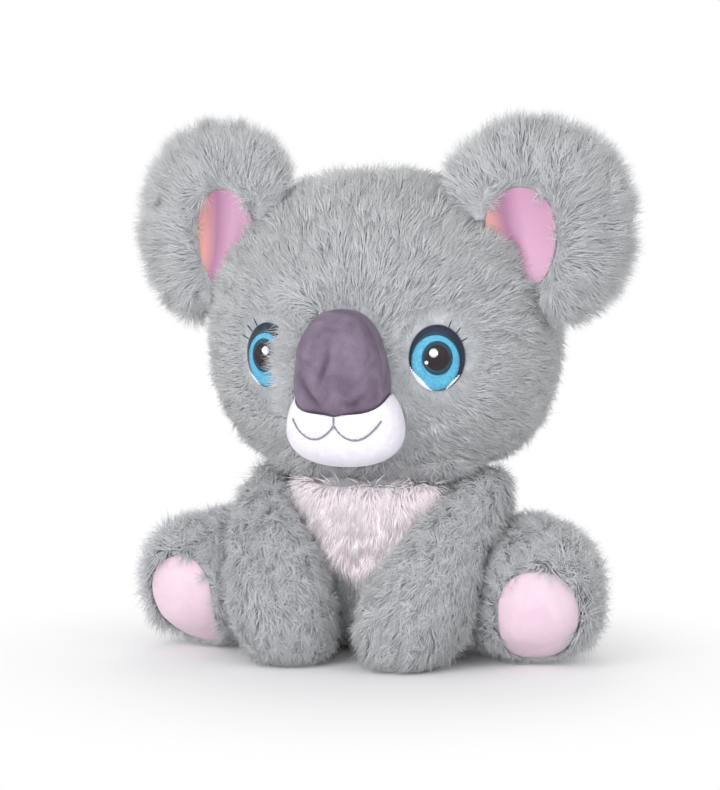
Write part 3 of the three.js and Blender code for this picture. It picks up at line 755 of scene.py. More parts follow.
def paint_head():
    p, n = places(head_skin)
    away = p - face_point(0, 86)
    back = soft(45, 95, np.linalg.norm(away, axis=1))[:, None]
    down = np.broadcast_to([0, 0.25, -1.0], p.shape)
    comb = along_surface(away, n) * (1 - 0.8 * back) + along_surface(down, n) * back
    cover_share, reach = np.ones(len(p)), np.ones(len(p))
    # The pile stops a little inside the outlines of the nose and the muzzle, so no gap shows
    front = p[:, 1] < -15
    zn, zm = p[:, 2] - NOSE["centre"][2], p[:, 2] - MUZZLE["centre"][2]
    nose_wide = 12.4 * (1 - NOSE["taper"] * np.clip(zn / 16, -1, 1))
    nose = np.where(front, inside_oval(p[:, 0], zn, nose_wide, 15.4, NOSE["fullness"]), OUTSIDE)
    muzzle = np.where(front, inside_oval(p[:, 0], zm, 16.8, 13.2, MUZZLE["fullness"]), OUTSIDE)
    for edge in (nose, muzzle):
        cover_share *= soft(-0.06, 0.06, edge)
        reach *= 0.72 + 0.28 * soft(0.0, 0.5, edge)
    for word, (seat, across, up, outward) in EYES.items():
        off = p - seat
        u, v = off @ across, off @ up
        edge = np.where(off @ outward > -12, inside_oval(u, v, EYE_WIDE + 0.2, EYE_HIGH + 0.2), OUTSIDE)
        near = (1 - soft(0.0, 0.7, edge))[:, None]
        from_eye = along_surface(u[:, None] * across + v[:, None] * up, n)
        comb = comb * (1 - 0.6 * near) + 1.3 * near * from_eye
        cover_share *= soft(-0.05, 0.09, edge)
        reach *= 0.42 + 0.58 * soft(0.05, 0.9, edge)
        # Beside the nose the pile stands up and falls over the inner rim of the eye
        inner = soft(4.0, 8.5, -u * SIDES[word]) * (1 - soft(1.0, 1.6, edge)) * OVERGROWN[word]
        comb = comb * (1 - inner[:, None]) - 0.35 * inner[:, None] * from_eye
        reach = reach * (1 - inner) + 1.25 * inner
        cover_share *= 1 + 1.3 * inner
    pressed = crowding(p, [skins["torso"], skins["left_arm"], skins["right_arm"]])
    reach *= 1 + 0.2 * soft(120, 140, p[:, 2])
    # Under the chin the pile stands straight out and hides the top of the bib
    chin = (p[:, 1] < -8) * soft(66, 58, p[:, 2]) * soft(34, 24, np.abs(p[:, 0]))
    comb, reach = comb * (1 - 0.8 * chin)[:, None], reach * (1 + 0.25 * chin)
    least = 0.4 + 0.45 * chin
    paint(head_skin, comb=comb, reach=reach * np.clip(pressed / 7, least, 1),
          cover=cover_share * np.clip(pressed / 5, 0.2 + 0.6 * chin, 1))


paint_head()
HEAD_PILE = {"Pile length mm": 6.4, "Lean": 0.95, "Tuft size mm": 4.5, "Tufting": 0.6}


def head_zone(side, part):
    """The faces of one of six zones: two sides, and from front to back the face, the crown and the nape."""
    low, high = {"face": (-99, -13), "crown": (-13, 12), "nape": (12, 99)}[part]
    return lambda m: (m[:, 0] * side >= (0 if side > 0 else 1e-9)) & (m[:, 1] >= low) & (m[:, 1] < high)


for number, (word, part) in enumerate((w, z) for w in SIDES for z in ("face", "crown", "nape")):
    plant(f"head_pile_{part}_{word}", head_skin, "head", grey_pile, 1 + number,
          HEAD_PILE, head_zone(SIDES[word], part))

# %% [markdown]
# The torso's pile hangs down. A triangle of longer white plush, the bib, is let into its front: it
# gets its own backing, which lies on the torso's, and its own strands, long enough to break up the
# straight edges of the seam.

# %% Torso and bib
BIB_TOP, BIB_SEAM, BIB_TIP = 51, 50, 23.5  # heights: its upper edge, the start of its sides, its tip
BIB_WIDE, BIB_BOW = 21.5, 14               # half its width at the top, and what bows its sides out
BIB_THICK = 1.2                            # its seam stands this far out of the grey backing


def bib_half_width(z):
    """Half the width of the bib at a height, 0 below its tip."""
    t = np.clip((BIB_SEAM - z) / (BIB_SEAM - BIB_TIP), 0, 1)
    bowed = BIB_WIDE * (1 - t) ** 2 + 2 * BIB_BOW * t * (1 - t)
    return np.where((z < BIB_TIP) | (z > BIB_TOP), 0.0, bowed)


def bib_depth(p):
    """How far a point is inside the bib's outline, in millimetres; below 0 outside it."""
    return np.where(p[:, 1] < -5, bib_half_width(p[:, 2]) - np.abs(p[:, 0]), -99.0)


def paint_torso():
    p, n = places(torso_skin)
    comb = along_surface(np.array([0, 0, -1.0]) + 0.15 * p / 40, n)
    pressed = crowding(p, [skin for body, skin in skins.items() if body != "torso"])
    bib = bib_depth(p)
    share = np.clip(pressed / 5, 0.25, 1) * (1 - soft(-0.6, 0.6, bib)) * np.where(p[:, 2] < 3, 0.5, 1)
    paint(torso_skin, comb=comb, reach=np.clip(pressed / 7, 0.4, 1), cover=share)


paint_torso()
plant("torso_pile", torso_skin, "torso", grey_pile, 8,
      {"Pile length mm": 5.8, "Strands per square mm": 3.8})

bib_backing = zone(torso_skin, "bib_backing", lambda m: bib_depth(m) > 0.2)
wall = bib_backing.modifiers.new("cloth", "SOLIDIFY")
wall.thickness, wall.offset = BIB_THICK * MM, 1.0
settle(bib_backing)
bib_backing.data.materials.clear()
bib_backing.data.materials.append(white_backing)
p, n = places(bib_backing)
pressed = crowding(p, [skins["head"], skins["left_arm"], skins["right_arm"]])
comb = along_surface(np.array([0, 0, -1.0]) + 0.012 * p * (1, 0, 0), n)
outer = n[:, 1] < 0.2
paint(bib_backing, comb=comb, reach=np.clip(pressed / 6, 0.6, 1),
      cover=np.where(outer, 1.0, 0.0) * np.clip(pressed / 3, 0.5, 1))
plant("bib_pile", bib_backing, "torso", white_pile, 9,
      {"Pile length mm": 7.6, "Strands per square mm": 5.0, "Strand width mm": 0.42, "Tufting": 0.6,
       "Tuft size mm": 4.0, "Lean": 1.1})

# %% [markdown]
# Arms and legs are covered all round. Their pile runs towards the paw or the sole, and it is more
# tousled than the head's, because small covers are turned right side out over a stick. Each sole
# leaves an oval free for its pad.

# %% Arms and legs
PAD_WIDE, PAD_TALL, PAD_LOW = 11.8, 14.1, -1.1  # half its width and height, and how low it sits
PAD_SQUARE = 2.4                                # the fullness of its oval


def sole(side):
    """The middle of the sole's pad, with its axes: across, up and outward."""
    form = leg_form(side)
    way = spine(form, 1.0)[1]
    turn = Vector((0, -1, 0)).rotation_difference(Vector(way)).to_matrix()
    across, up = np.array(turn @ Vector((1, 0, 0))), np.array(turn @ Vector((0, 0, 1)))
    return np.array(form["tip"]) + (0, 0, -3.3), across, up, way


def nearest_share(form, points):
    """The share of a limb's middle line that is nearest to each point."""
    shares = np.linspace(0, 1, 25)
    line = spine(form, shares)[0]
    return shares[np.linalg.norm(points[:, None] - line[None], axis=2).argmin(1)]


def paint_limb(body, form, pad=None):
    p, n = places(skins[body])
    way = spine(form, nearest_share(form, p))[1]
    comb = along_surface(way + (0, 0, -0.35), n)
    pressed = crowding(p, [skin for other, skin in skins.items() if other != body])
    share, reach = np.clip(pressed / 5, 0.25, 1), np.clip(pressed / 6, 0.5, 1)
    if pad:
        middle, across, up, outward = pad
        off = p - middle
        u, v = off @ across, off @ up
        oval = inside_oval(u, v - PAD_LOW, PAD_WIDE - 0.3, PAD_TALL - 0.3, PAD_SQUARE)
        edge = np.where(off @ outward > -17, oval, OUTSIDE)
        near = (1 - soft(0.0, 0.6, edge))[:, None]
        comb = comb * (1 - near) - 0.1 * near * along_surface(u[:, None] * across + v[:, None] * up, n)
        share = share * soft(-0.04, 0.06, edge)
        # Round the outside of the foot the pile is longer and stands straight out
        rim = soft(-30, -12, off @ outward) * soft(0.1, 0.7, n[:, 0] * np.sign(middle[0]) + 0.3 * n[:, 2])
        reach, comb = reach * (1 + 0.45 * rim), comb * (1 - 0.6 * rim)[:, None]
    paint(skins[body], comb=comb, reach=reach, cover=share)


ARM_PILE = {"Pile length mm": 5.8, "Lean": 0.5, "Tuft size mm": 3.6, "Tufting": 0.7, "Bend": 0.65}
LEG_PILE = dict(ARM_PILE, **{"Strands per square mm": 5.2, "Lean": 0.6})
for word, side in SIDES.items():
    arm, leg = f"{word}_arm", f"{word}_leg"
    paint_limb(arm, arm_form(side))
    plant(f"{arm}_pile", skins[arm], arm, grey_pile, 20 + side, ARM_PILE)
    paint_limb(leg, leg_form(side), sole(side))
    plant(f"{leg}_pile", skins[leg], leg, grey_pile, 30 + side, LEG_PILE)

# %% [markdown]
# An ear is a flat bag of the same plush with the longest pile, scooped in front round its lining.
# The scoop is cut out of the backing as an oval bowl, and the pile radiates from it, so that the
# ear's outline ends in loose tips.

# %% Ears
LINING_WIDE, LINING_HIGH = 10.2, 14.8               # half the lining's size
LINING_OUT, LINING_UP = 0.9, 2.4                    # its place in the scoop
SCOOP_WIDE, SCOOP_HIGH, SCOOP_DEEP = 15.3, 20.4, 7.6
SCOOP_OUT = 9.8                                     # how far the scoop's middle is in front of the ear's
UNDER_LINING = 1.4                                  # room for the lining and what it lies on
EAR_PILE = {"Pile length mm": 8.0, "Strands per square mm": 5.6, "Lean": 0.8, "Tuft size mm": 6.0,
            "Tufting": 0.6}


def lining_frame(side):
    """The place and axes of an ear's lining: middle, across, up and outward, and their rotation."""
    form = ear_form(side)
    turn = form["turn"]
    middle = form["centre"] + np.array(turn @ Vector((-side * 3.8, 0, -6)))
    turn = turn @ Matrix.Rotation(side * math.radians(12), 3, Vector((0, -1, 0)))
    across, up, outward = (np.array(turn @ Vector(axis)) for axis in ((1, 0, 0), (0, 0, 1), (0, -1, 0)))
    return middle, across, up, outward, turn


def scoop(side, room):
    """The bowl that is cut out of an ear's front."""
    middle, _, _, outward, turn = lining_frame(side)
    deep = SCOOP_DEEP + room
    return {"centre": middle + SCOOP_OUT * outward, "across": SCOOP_WIDE + room, "front": deep, "back": deep,
            "height": SCOOP_HIGH + room, "fullness": 2.0, "turn": turn}


def lining_edge(side, u, v):
    """Below 0 inside the lining's outline, an egg with its narrow end down, and above 0 outside."""
    u, v = u - side * LINING_OUT, v - LINING_UP
    return inside_oval(u, v, LINING_WIDE * (1 + 0.2 * np.clip(v / LINING_HIGH, -1, 1)), LINING_HIGH)


for word, side in SIDES.items():
    body = f"{word}_ear"
    skin = skins[body] = thing(f"{body}_skin", *cushion(ear_form(side), -PILE), shaded_grey_backing)
    carve(skin, cushion(scoop(side, UNDER_LINING), 0, 5))
    carve(skin, cushion(HEAD, EAR_ROOT - PILE, 5))
    even(skin, voxel=2.0, relax=3)
    finer(skin)
    p, n = places(skin)
    middle, across, up, outward, _ = lining_frame(side)
    off = p - middle
    u, v = off @ across, off @ up
    edge = np.where(off @ outward > -2, lining_edge(side, u, v), OUTSIDE)
    outwards = soft(0, 0.5, edge)
    comb = along_surface(u[:, None] * across + v[:, None] * up, n) * (0.35 + 0.65 * outwards)[:, None]
    pressed = crowding(p, [head_skin])
    paint(skin, comb=comb, reach=(0.7 + 0.3 * outwards) * np.clip(pressed / 8, 0.4, 1),
          cover=soft(-0.03, 0.03, edge) * np.clip(pressed / 5, 0.3, 1))
    plant(f"{body}_pile", skin, body, grey_pile, 40 + side, EAR_PILE)

# %% [markdown]
# Each backing takes the place of its CAD cover and filling and rides on the same body. The three
# painted values have done their work by now and are taken off. An ear has no filling of its own, so
# it takes the place of the ear's one CAD node.

# %% Backings in place
for piece in [*skins.values(), bib_backing]:
    for name in ("comb", "reach", "cover"):
        piece.data.attributes.remove(piece.data.attributes[name])
for body, skin in skins.items():
    is_ear = body.endswith("ear")
    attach(skin, body)
    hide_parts(*([body] if is_ear else [f"{body}_cover", f"{body}_filling"]))
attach(bib_backing, "torso")
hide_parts("chest_bib")
print("backings in place:", len(skins) + 1)

# %% [markdown]
# The nose, the muzzle and the soles' pads are velour: a knitted cloth with a short, dense, upright
# pile. It looks matt from the front and pale where it turns away, which is what sheen gives, and it
# shows soft marks wherever a finger has laid the nap down. The grain is a fine noise at the size of
# the pile, drawn a little coarser than it is so that it shows.

# %% Velour and satin
GRAIN = 2600.0  # the scale of a noise whose spots are about 0.4 mm wide


def velour(name, colour, laid, marks=230.0, strength=0.25, sheen=0.35, crease=None):
    made, tree, shader = material(name, Roughness=0.95, Specular_IOR_Level=0.15,
                                  Sheen_Weight=sheen, Sheen_Roughness=0.45)
    place = add(tree, "ShaderNodeTexCoord", out="Object")
    brushed = {"Vector": place, "Scale": marks, "Detail": 4.0, "Distortion": 0.8}
    nap = add(tree, "ShaderNodeTexNoise", brushed, "Fac")
    fine = add(tree, "ShaderNodeTexNoise", {"Vector": place, "Scale": GRAIN, "Detail": 1.0}, "Fac")
    mixed = add(tree, "ShaderNodeMath", {0: fine, 1: 0.35, 2: nap}, 0, operation="MULTIPLY_ADD")
    tint = add(tree, "ShaderNodeValToRGB", {"Fac": mixed}, "Color", stops=[(0.45, laid), (0.85, colour)])
    if crease:
        # Painted shade: darker where the attribute is painted, in the nose's grooves and along its rim
        depth = add(tree, "ShaderNodeAttribute", out="Fac", attribute_name="crease")
        tint = add(tree, "ShaderNodeMix", {0: depth, 6: tint, 7: linear(crease)}, 2, data_type="RGBA")
    tree.links.new(tint, shader.inputs["Base Color"])
    bump = add(tree, "ShaderNodeBump", {"Height": mixed, "Strength": strength, "Distance": 0.0005}, "Normal")
    tree.links.new(bump, shader.inputs["Normal"])
    return made


def satin(name, inner, fold, middle):
    """Woven satin: smooth and softly shiny, its colour running across the piece's own map."""
    made, tree, shader = material(name, Roughness=0.38, Specular_IOR_Level=0.5, Sheen_Weight=0.2)
    place = add(tree, "ShaderNodeTexCoord").outputs
    across = add(tree, "ShaderNodeSeparateXYZ", {0: place["UV"]}, "X")
    # The salmon inner edge is a painted sheen, and the darker band is painted shade in the fold
    stops = [(0.16, inner), (0.34, fold), (0.55, middle)]
    colour = add(tree, "ShaderNodeValToRGB", {"Fac": across}, "Color", stops=stops)
    tree.links.new(colour, shader.inputs["Base Color"])
    bands = {"Vector": place["Object"], "Scale": 900.0, "Distortion": 1.5}
    weave = add(tree, "ShaderNodeTexWave", bands, "Fac", bands_direction="Z")
    bump = add(tree, "ShaderNodeBump", {"Height": weave, "Strength": 0.06, "Distance": 0.0002}, "Normal")
    tree.links.new(bump, shader.inputs["Normal"])
    return made


white_velour = velour("velour, white", "#F0EDF5", "#E4DFEC")
# The mauve velour's darkest colour is painted shade, for the nose's grooves and rim
mauve_velour = velour("velour, mauve grey", "#85778A", "#6B5D70", marks=150.0, sheen=0.1, crease="#4A3F4E")
pink_velour = velour("velour, pale pink", "#E8D0DD", "#E0C4D5", marks=120.0, strength=0.08)
# Salmon edge: painted sheen; darker fold band: painted shade; pink middle: the satin's own colour
pink_satin = satin("satin, pink", "#D39490", "#A67396", "#CA99B7")

# %% [markdown]
# The muzzle is a small pillow. It starts a little under its size, is filled by the cloth
# simulation, and then gets what the embroidery does to it: the stitched line pulls a shallow
# groove, and the two cheeks beside it swell. It is cut to sit on the head's backing and to clear
# the nose.

# %% Muzzle
def seated(name, form, finish, voxel):
    """A stuffed form on the face, cut to clear the head's backing by a fifth of a millimetre."""
    made = thing(name, *cushion(form, -PUFF / 4), finish)
    even(made, voxel, relax=2)
    fill(made, PUFF, frames=12)
    carve(made, cushion(HEAD, PUFF + 0.2 - PILE, 6))
    return made


def lip_height(x):
    """The height of the embroidered mouth at x, in millimetres."""
    share = np.clip(np.abs(x) / 13.5, 0, 1)
    return 71.4 - 4.6 * np.sin(math.pi * share) ** 0.8 + 1.5 * share ** 2


muzzle = seated("muzzle_pillow", MUZZLE, white_velour, voxel=1.0)
p, n = places(muzzle)
from_middle = np.abs(p[:, 0])
dip = 0.8 * np.exp(-(from_middle / 1.6) ** 2) * soft(66, 71, p[:, 2])
along_lip = 1 - soft(12.5, 14.5, from_middle)
dip += 0.45 * np.exp(-((p[:, 2] - lip_height(p[:, 0])) / 1.0) ** 2) * along_lip
cheeks = 0.5 * np.exp(-((from_middle - 7.5) / 5) ** 2 - ((p[:, 2] - 73) / 6) ** 2)
move_to(muzzle, p + n * ((cheeks - dip) * (p[:, 1] < -38))[:, None])
carve(muzzle, cushion(NOSE, 0.5, 6))
print("muzzle", len(muzzle.data.polygons), "faces")

# %% [markdown]
# The nose is the tallest pillow, of mauve velour. Three soft grooves are pressed into its front, one
# down the middle and two near the lower edge, where stitches pull it in, and a slow wave makes it as
# uneven as filling does. The grooves and the rim of the upper half are also painted darker: painted
# shade in the grooves, and along the top and sides where the nose turns away from the front.

# %% Nose
def groove(x, z, line, deep, wide):
    """A soft groove along a line of (x, z) spots, fading out at its two ends."""
    line = np.array(line, float)
    spots = np.array([a * (1 - t) + b * t for a, b in zip(line, line[1:]) for t in np.linspace(0, 1, 8)])
    apart = np.hypot(x[:, None] - spots[:, 0], z[:, None] - spots[:, 1])
    ends = np.sin(np.pi * np.linspace(0.12, 0.88, len(spots)))
    return (deep * ends * np.exp(-(apart / wide) ** 2)).max(1)


GROOVES = [([(0.5, 7), (0, 1.5), (-1.9, -2.7), (-3.4, -6.5)], 1.0, 1.0),
           ([(-10, -3), (-6, -9.5), (-3.5, -13)], 1.0, 1.1),
           ([(3.5, -11), (6.3, -12), (9.5, -9.5)], 0.9, 1.1)]  # the line, how deep and how wide

nose = seated("nose_pillow", NOSE, mauve_velour, voxel=0.75)
p, n = places(nose)
off = p - NOSE["centre"]
front = off[:, 1] < -2
crease = np.max([groove(off[:, 0], off[:, 2], *given) for given in GROOVES], axis=0)
wave = 0.3 * np.sin(off[:, 0] * 0.55 + 1) * np.sin(off[:, 2] * 0.33)
move_to(nose, p + n * ((wave - crease) * front)[:, None])
# Painted shade: the upper rim, where the nose turns away from the front, is darker as well
rim = 0.55 * soft(0.3, 0.0, -n[:, 1]) * soft(-9, 0, off[:, 2])
paint(nose, crease=np.maximum(np.clip(crease * 0.7, 0, 0.7), rim) * front)
print("nose", len(nose.data.polygons), "faces")

# %% [markdown]
# Embroidery is thread laid side by side. A second node tree makes it: each loose edge that it is
# given becomes one stitch, a thread of the given width that rises a little from the cloth between
# its ends. The tree turns each edge into a curve, bows it outwards, and sweeps a small ring along it.

# %% Node tree: stitches
STITCH_INPUTS = {"Thread width mm": 0.4, "Rise mm": 0.12, "End width": 0.45}


def stitch_tree():
    tree, given, made = new_tree("stitches", STITCH_INPUTS, "Edges", "Stitches")
    node = partial(add, tree)
    line = node("GeometryNodeMeshToCurve", {"Mesh": given["Edges"]}, "Curve")
    line = node("GeometryNodeResampleCurve", {"Curve": line, "Count": 5}, "Curve")
    # The hump is 0 at the two ends of a stitch and 1 in its middle
    share = node("GeometryNodeSplineParameter", out="Factor")
    left = node(MATH, {0: 1.0, 1: share}, 0, operation="SUBTRACT")
    hump = node(MATH, {0: share, 1: left}, 0, operation="MULTIPLY")
    hump = node(MATH, {0: hump, 1: 4.0}, 0, operation="MULTIPLY")
    out = node("GeometryNodeInputNamedAttribute", {"Name": "out"}, "Attribute", data_type="FLOAT_VECTOR")
    rise = node(MATH, {0: given["Rise mm"], 1: MM}, 0, operation="MULTIPLY")
    rise = node(MATH, {0: hump, 1: rise}, 0, operation="MULTIPLY")
    bowed = node(VECTOR, {0: out, "Scale": rise}, "Vector", operation="SCALE")
    line = node("GeometryNodeSetPosition", {"Geometry": line, "Offset": bowed}, "Geometry")
    # The thread is thinner at its ends, where it goes into the cloth
    limits = {"Value": hump, "From Max": 0.8, "To Min": given["End width"], "To Max": 1.0}
    taper = node("ShaderNodeMapRange", limits, "Result")
    radius = node(MATH, {0: given["Thread width mm"], 1: MM / 2}, 0, operation="MULTIPLY")
    radius = node(MATH, {0: taper, 1: radius}, 0, operation="MULTIPLY")
    ring = node("GeometryNodeCurvePrimitiveCircle", {"Resolution": 5, "Radius": 1.0}, "Curve")
    swept = {"Curve": line, "Profile Curve": ring, "Scale": radius, "Fill Caps": True}
    thread = node("GeometryNodeCurveToMesh", swept, "Mesh")
    thread = node("GeometryNodeRemoveAttribute", {"Geometry": thread, "Name": "out"}, "Geometry")
    thread = node("GeometryNodeRealizeInstances", {"Geometry": thread}, "Geometry")
    thread = node("GeometryNodeSetMaterial", {"Geometry": thread, "Material": given["Finish"]}, "Geometry")
    tree.links.new(thread, made["Stitches"])
    return tree


STITCHING = stitch_tree()
print("stitch tree", len(STITCHING.nodes), "nodes")


def stitched(name, pairs, outward, finish, ground=None, sizes=STITCH_INPUTS):
    """Stitches from pairs of end points, with the ground cloth under them as one piece."""
    ends = np.array(pairs, float).reshape(-1, 3)
    mesh = bpy.data.meshes.new(name)
    mesh.from_pydata([tuple(e * MM) for e in ends], [(i, i + 1) for i in range(0, len(ends), 2)], [])
    made = bpy.data.objects.new(name, mesh)
    scene.collection.objects.link(made)
    paint(made, out=np.broadcast_to(outward, ends.shape))
    grow(made, STITCHING, dict(sizes, Finish=finish))
    if ground:
        joined = bmesh.new()
        joined.from_mesh(made.data)
        joined.from_mesh(ground.data)
        joined.to_mesh(made.data)
        joined.free()
        drop(ground)
    for face in made.data.polygons:
        face.use_smooth = True
    print(name, len(pairs), "stitches")
    return made


def thread_material(name, colour, shade):
    made, tree, shader = material(name, Roughness=0.42, Specular_IOR_Level=0.45, Sheen_Weight=0.15)
    place = add(tree, "ShaderNodeTexCoord", out="Object")
    dye = add(tree, "ShaderNodeTexNoise", {"Vector": place, "Scale": 1400.0, "Detail": 2.0}, "Fac")
    tint = add(tree, "ShaderNodeValToRGB", {"Fac": dye}, "Color", stops=[(0.3, shade), (0.7, colour)])
    tree.links.new(tint, shader.inputs["Base Color"])
    return made


navy_thread = thread_material("rayon thread, navy", "#14243F", "#0B1730")
blue_thread = thread_material("rayon thread, sky blue", "#68BFDC", "#489FC8")
teal_thread = thread_material("rayon thread, dark teal", "#15455C", "#0E3346")
black_thread = thread_material("rayon thread, black", "#24131D", "#160B14")
white_thread = thread_material("rayon thread, white", "#FBFCFF", "#E3E8F1")
grey_thread = thread_material("rayon thread, grey", "#908D99", "#7B7884")

# %% [markdown]
# An eye is embroidered in satin stitch, in layers: a navy ground with a rim of stitches that point
# at its middle and three loose lashes, a sky-blue iris, teal round the pupil and along the iris's
# upper edge, a near-black pupil in upright stitches, and white for two glints and two thin
# crescents. The layers follow one low dome. Each eye's design is the other's mirror image.

# %% Eyes
EYE_RIM, EYE_CROWN = 0.3, 1.7  # how far the dome's rim stands out, and how much more its middle
IRIS_IN, IRIS_LOW = 0.5, 0.95  # how far the iris's middle is from the eye's, inwards and down
THREAD = 0.34                  # from one stitch to the next
LASHES = (30, 48, 66)          # their turns in degrees, from the outer corner up
# The left eye's crescents: start and end in degrees, and the inner share of the radius
CRESCENTS = ((192, 262, 0.82), (292, 332, 0.91))


def dome(seat, u, v, lift=0.0):
    """The eye's surface at (u, v) millimetres from its middle."""
    middle, across, up, outward = seat
    rho = min(1.0, (u / EYE_WIDE) ** 2 + (v / EYE_HIGH) ** 2)
    return middle + across * u + up * v + outward * (EYE_RIM + EYE_CROWN * math.sqrt(1 - rho) + lift)


def disc_spots(rings, parts):
    """A disc's points as (share of the radius, turn): the middle, then ring after ring."""
    return [(0.0, 0.0)] + [(ring / rings, 2 * math.pi * part / parts)
                           for ring in range(1, rings + 1) for part in range(parts)]


def closed_faces(rings, parts):
    """The faces of two such discs, one behind the other, closed along their rims."""
    size = 1 + rings * parts
    rim = size - parts
    front, sides = [], []
    for part in range(parts):
        after = (part + 1) % parts
        front.append((0, 1 + part, 1 + after))
        for ring in range(rings - 1):
            a, b = 1 + ring * parts, 1 + (ring + 1) * parts
            front.append((a + part, b + part, b + after, a + after))
        sides.append((rim + part, size + rim + part, size + rim + after, rim + after))
    return front + [tuple(size + i for i in reversed(face)) for face in front] + sides


def ground_cloth(seat, place, wide, high, lift, deep, finish, rings=8, parts=40):
    """A closed oval cap under a layer of stitches."""
    (x, z), spots = place, disc_spots(rings, parts)
    points = [dome(seat, x + wide * r * math.cos(turn), z + high * r * math.sin(turn), lift)
              for r, turn in spots]
    made = thing("ground", points + [q - seat[3] * deep for q in points], closed_faces(rings, parts), finish)
    shape = bmesh.new()
    shape.from_mesh(made.data)
    bmesh.ops.recalc_face_normals(shape, faces=shape.faces)
    shape.to_mesh(made.data)
    shape.free()
    return made


def spokes(seat, place, wide, high, inner, lift, width=THREAD, start=0.0, end=360.0, fade=False):
    """Stitches that point at the middle of an oval, from the share inner of it out to its edge.
    With fade they grow shorter towards the start and the end."""
    around = math.pi * (wide + high) * (end - start) / 360
    count = max(3, round(around / width))
    rows = []
    for i in range(count):
        turn = math.radians(start + (end - start) * (i + 0.5) / count)
        long = max(0.15, math.sin(math.pi * (i + 0.5) / count)) if fade else 1.0
        near = 1 - (1 - inner) * long + 0.02 * math.sin(i * 2.4)
        c, s = math.cos(turn), math.sin(turn)
        ends = [(place[0] + wide * r * c, place[1] + high * r * s) for r in (near, 1.0)]
        rows.append([dome(seat, u, v, lift) for u, v in ends])
    return rows


def upright_rows(seat, place, wide, high, lift, width):
    """Stitches side by side that run up and down an oval."""
    count = max(3, round(2 * wide / width))
    rows = []
    for i in range(count):
        x = -wide + 2 * wide * (i + 0.5) / count
        tall = high * math.sqrt(max(0.02, 1 - (x / wide) ** 2))
        rows.append([dome(seat, place[0] + x, place[1] + s * tall, lift) for s in (-1, 1)])
    return rows


eye_layers = []  # each layer's piece, its slot, and the node that it replaces
for word, side in SIDES.items():
    seat = EYES[word]
    eye, out = f"{word}_eye", seat[3]
    low = (-side * IRIS_IN, -IRIS_LOW)
    ground = ground_cloth(seat, (0, 0), EYE_WIDE - 0.2, EYE_HIGH - 0.2, 0, deep=0.9, finish=navy_thread)
    rows = spokes(seat, (0, 0), EYE_WIDE, EYE_HIGH, inner=0.72, lift=0.1)
    for turn in map(math.radians, LASHES):
        # A lash is one loose stitch from the rim out over the pile
        u, v = side * EYE_WIDE * math.cos(turn), EYE_HIGH * math.sin(turn)
        rows.append([dome(seat, u * 0.94, v * 0.94, 0.3), dome(seat, u * 1.23, v * 1.23, 1.5)])
    made = stitched(f"{eye}_ground", rows, out, navy_thread, ground)
    eye_layers.append((made, "navy_thread", eye))

    ground = ground_cloth(seat, low, 6.7, 8.2, lift=0.32, deep=0.3, finish=blue_thread)
    rows = spokes(seat, low, 7.0, 8.5, inner=0.56, lift=0.42)
    made = stitched(f"{eye}_iris", rows, out, blue_thread, ground)
    eye_layers.append((made, "blue_thread", f"{word}_iris"))

    # Teal: a ring round the pupil, and the iris's upper edge
    rows = spokes(seat, (0, 0.1), 4.5, 5.0, inner=0.7, lift=0.62, width=0.32)
    rows += spokes(seat, low, 7.1, 8.6, inner=0.89, lift=0.56, start=18, end=162, fade=True)
    eye_layers.append((stitched(f"{eye}_ring", rows, out, teal_thread), "blue_thread", None))

    ground = ground_cloth(seat, (0, 0.1), 3.3, 3.8, 0.62, deep=0.3, finish=black_thread, rings=5, parts=28)
    rows = upright_rows(seat, (0, 0.1), 3.7, 4.2, lift=0.72, width=THREAD)
    made = stitched(f"{eye}_pupil", rows, out, black_thread, ground)
    eye_layers.append((made, "black_thread", f"{word}_pupil"))

    # White: a large glint above the pupil's middle, a small one low beside it, and the crescents
    rows = upright_rows(seat, (-side * 1.1, 1.6), 1.25, 1.35, lift=1.0, width=0.32)
    rows += upright_rows(seat, (-side * 3.2, -1.2), 0.5, 0.6, lift=0.95, width=0.3)
    for start, end, inner in CRESCENTS:
        if side < 0:
            start, end = 540 - end, 540 - start  # mirrored
        rows += spokes(seat, (-side * 0.35, -0.75), 7.7, 8.8, inner, 0.5, start=start, end=end, fade=True)
    eye_layers.append((stitched(f"{eye}_glints", rows, out, white_thread), "black_thread", None))
for piece, finish, node in eye_layers:
    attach(piece, "head")
    if node:
        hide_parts(node)

# %% [markdown]
# The mouth is a single row of backstitch. Its line is dropped straight back on to the muzzle, so
# the stitches lie in the grooves that they make.

# %% Mouth
def dropped(x, z, on, lift):
    """The first point of a piece behind (x, z), lifted off its surface, or None if there is none."""
    hit, normal, _, _ = tree_of(on).ray_cast(Vector((x * MM, -0.2, z * MM)), Vector((0, 1, 0)))
    return None if hit is None else np.array(hit) / MM + np.array(normal) * lift


def row_of_stitches(points, length):
    """Pairs of ends at even steps along a line, each stitch starting just inside the last one."""
    points = np.array(points)
    run = np.concatenate([[0], np.cumsum(np.linalg.norm(np.diff(points, axis=0), axis=1))])
    count = max(1, round(run[-1] / length))
    step = run[-1] / count

    def at(far):
        return np.array([np.interp(far, run, points[:, k]) for k in range(3)])

    return [[at(max(0, i * step - 0.25)), at(min(run[-1], (i + 1) * step + 0.1))] for i in range(count)]


MOUTH_SIZES = {"Thread width mm": 0.62, "Rise mm": 0.15, "End width": 0.7}
ON_CLOTH = 0.12
lips = [[dropped(s * x, lip_height(x), muzzle, ON_CLOTH) for x in np.linspace(0, 13.5, 28)] for s in (1, -1)]
middle = [dropped(0, z, muzzle, ON_CLOTH) for z in np.linspace(71.6, 76.5, 12)]
middle = [spot for spot in middle if spot is not None]
rows = [pair for line in lips + [middle] for pair in row_of_stitches(line, 1.8)]
mouth = stitched("mouth_line", rows, (0, -1, 0), grey_thread, sizes=MOUTH_SIZES)

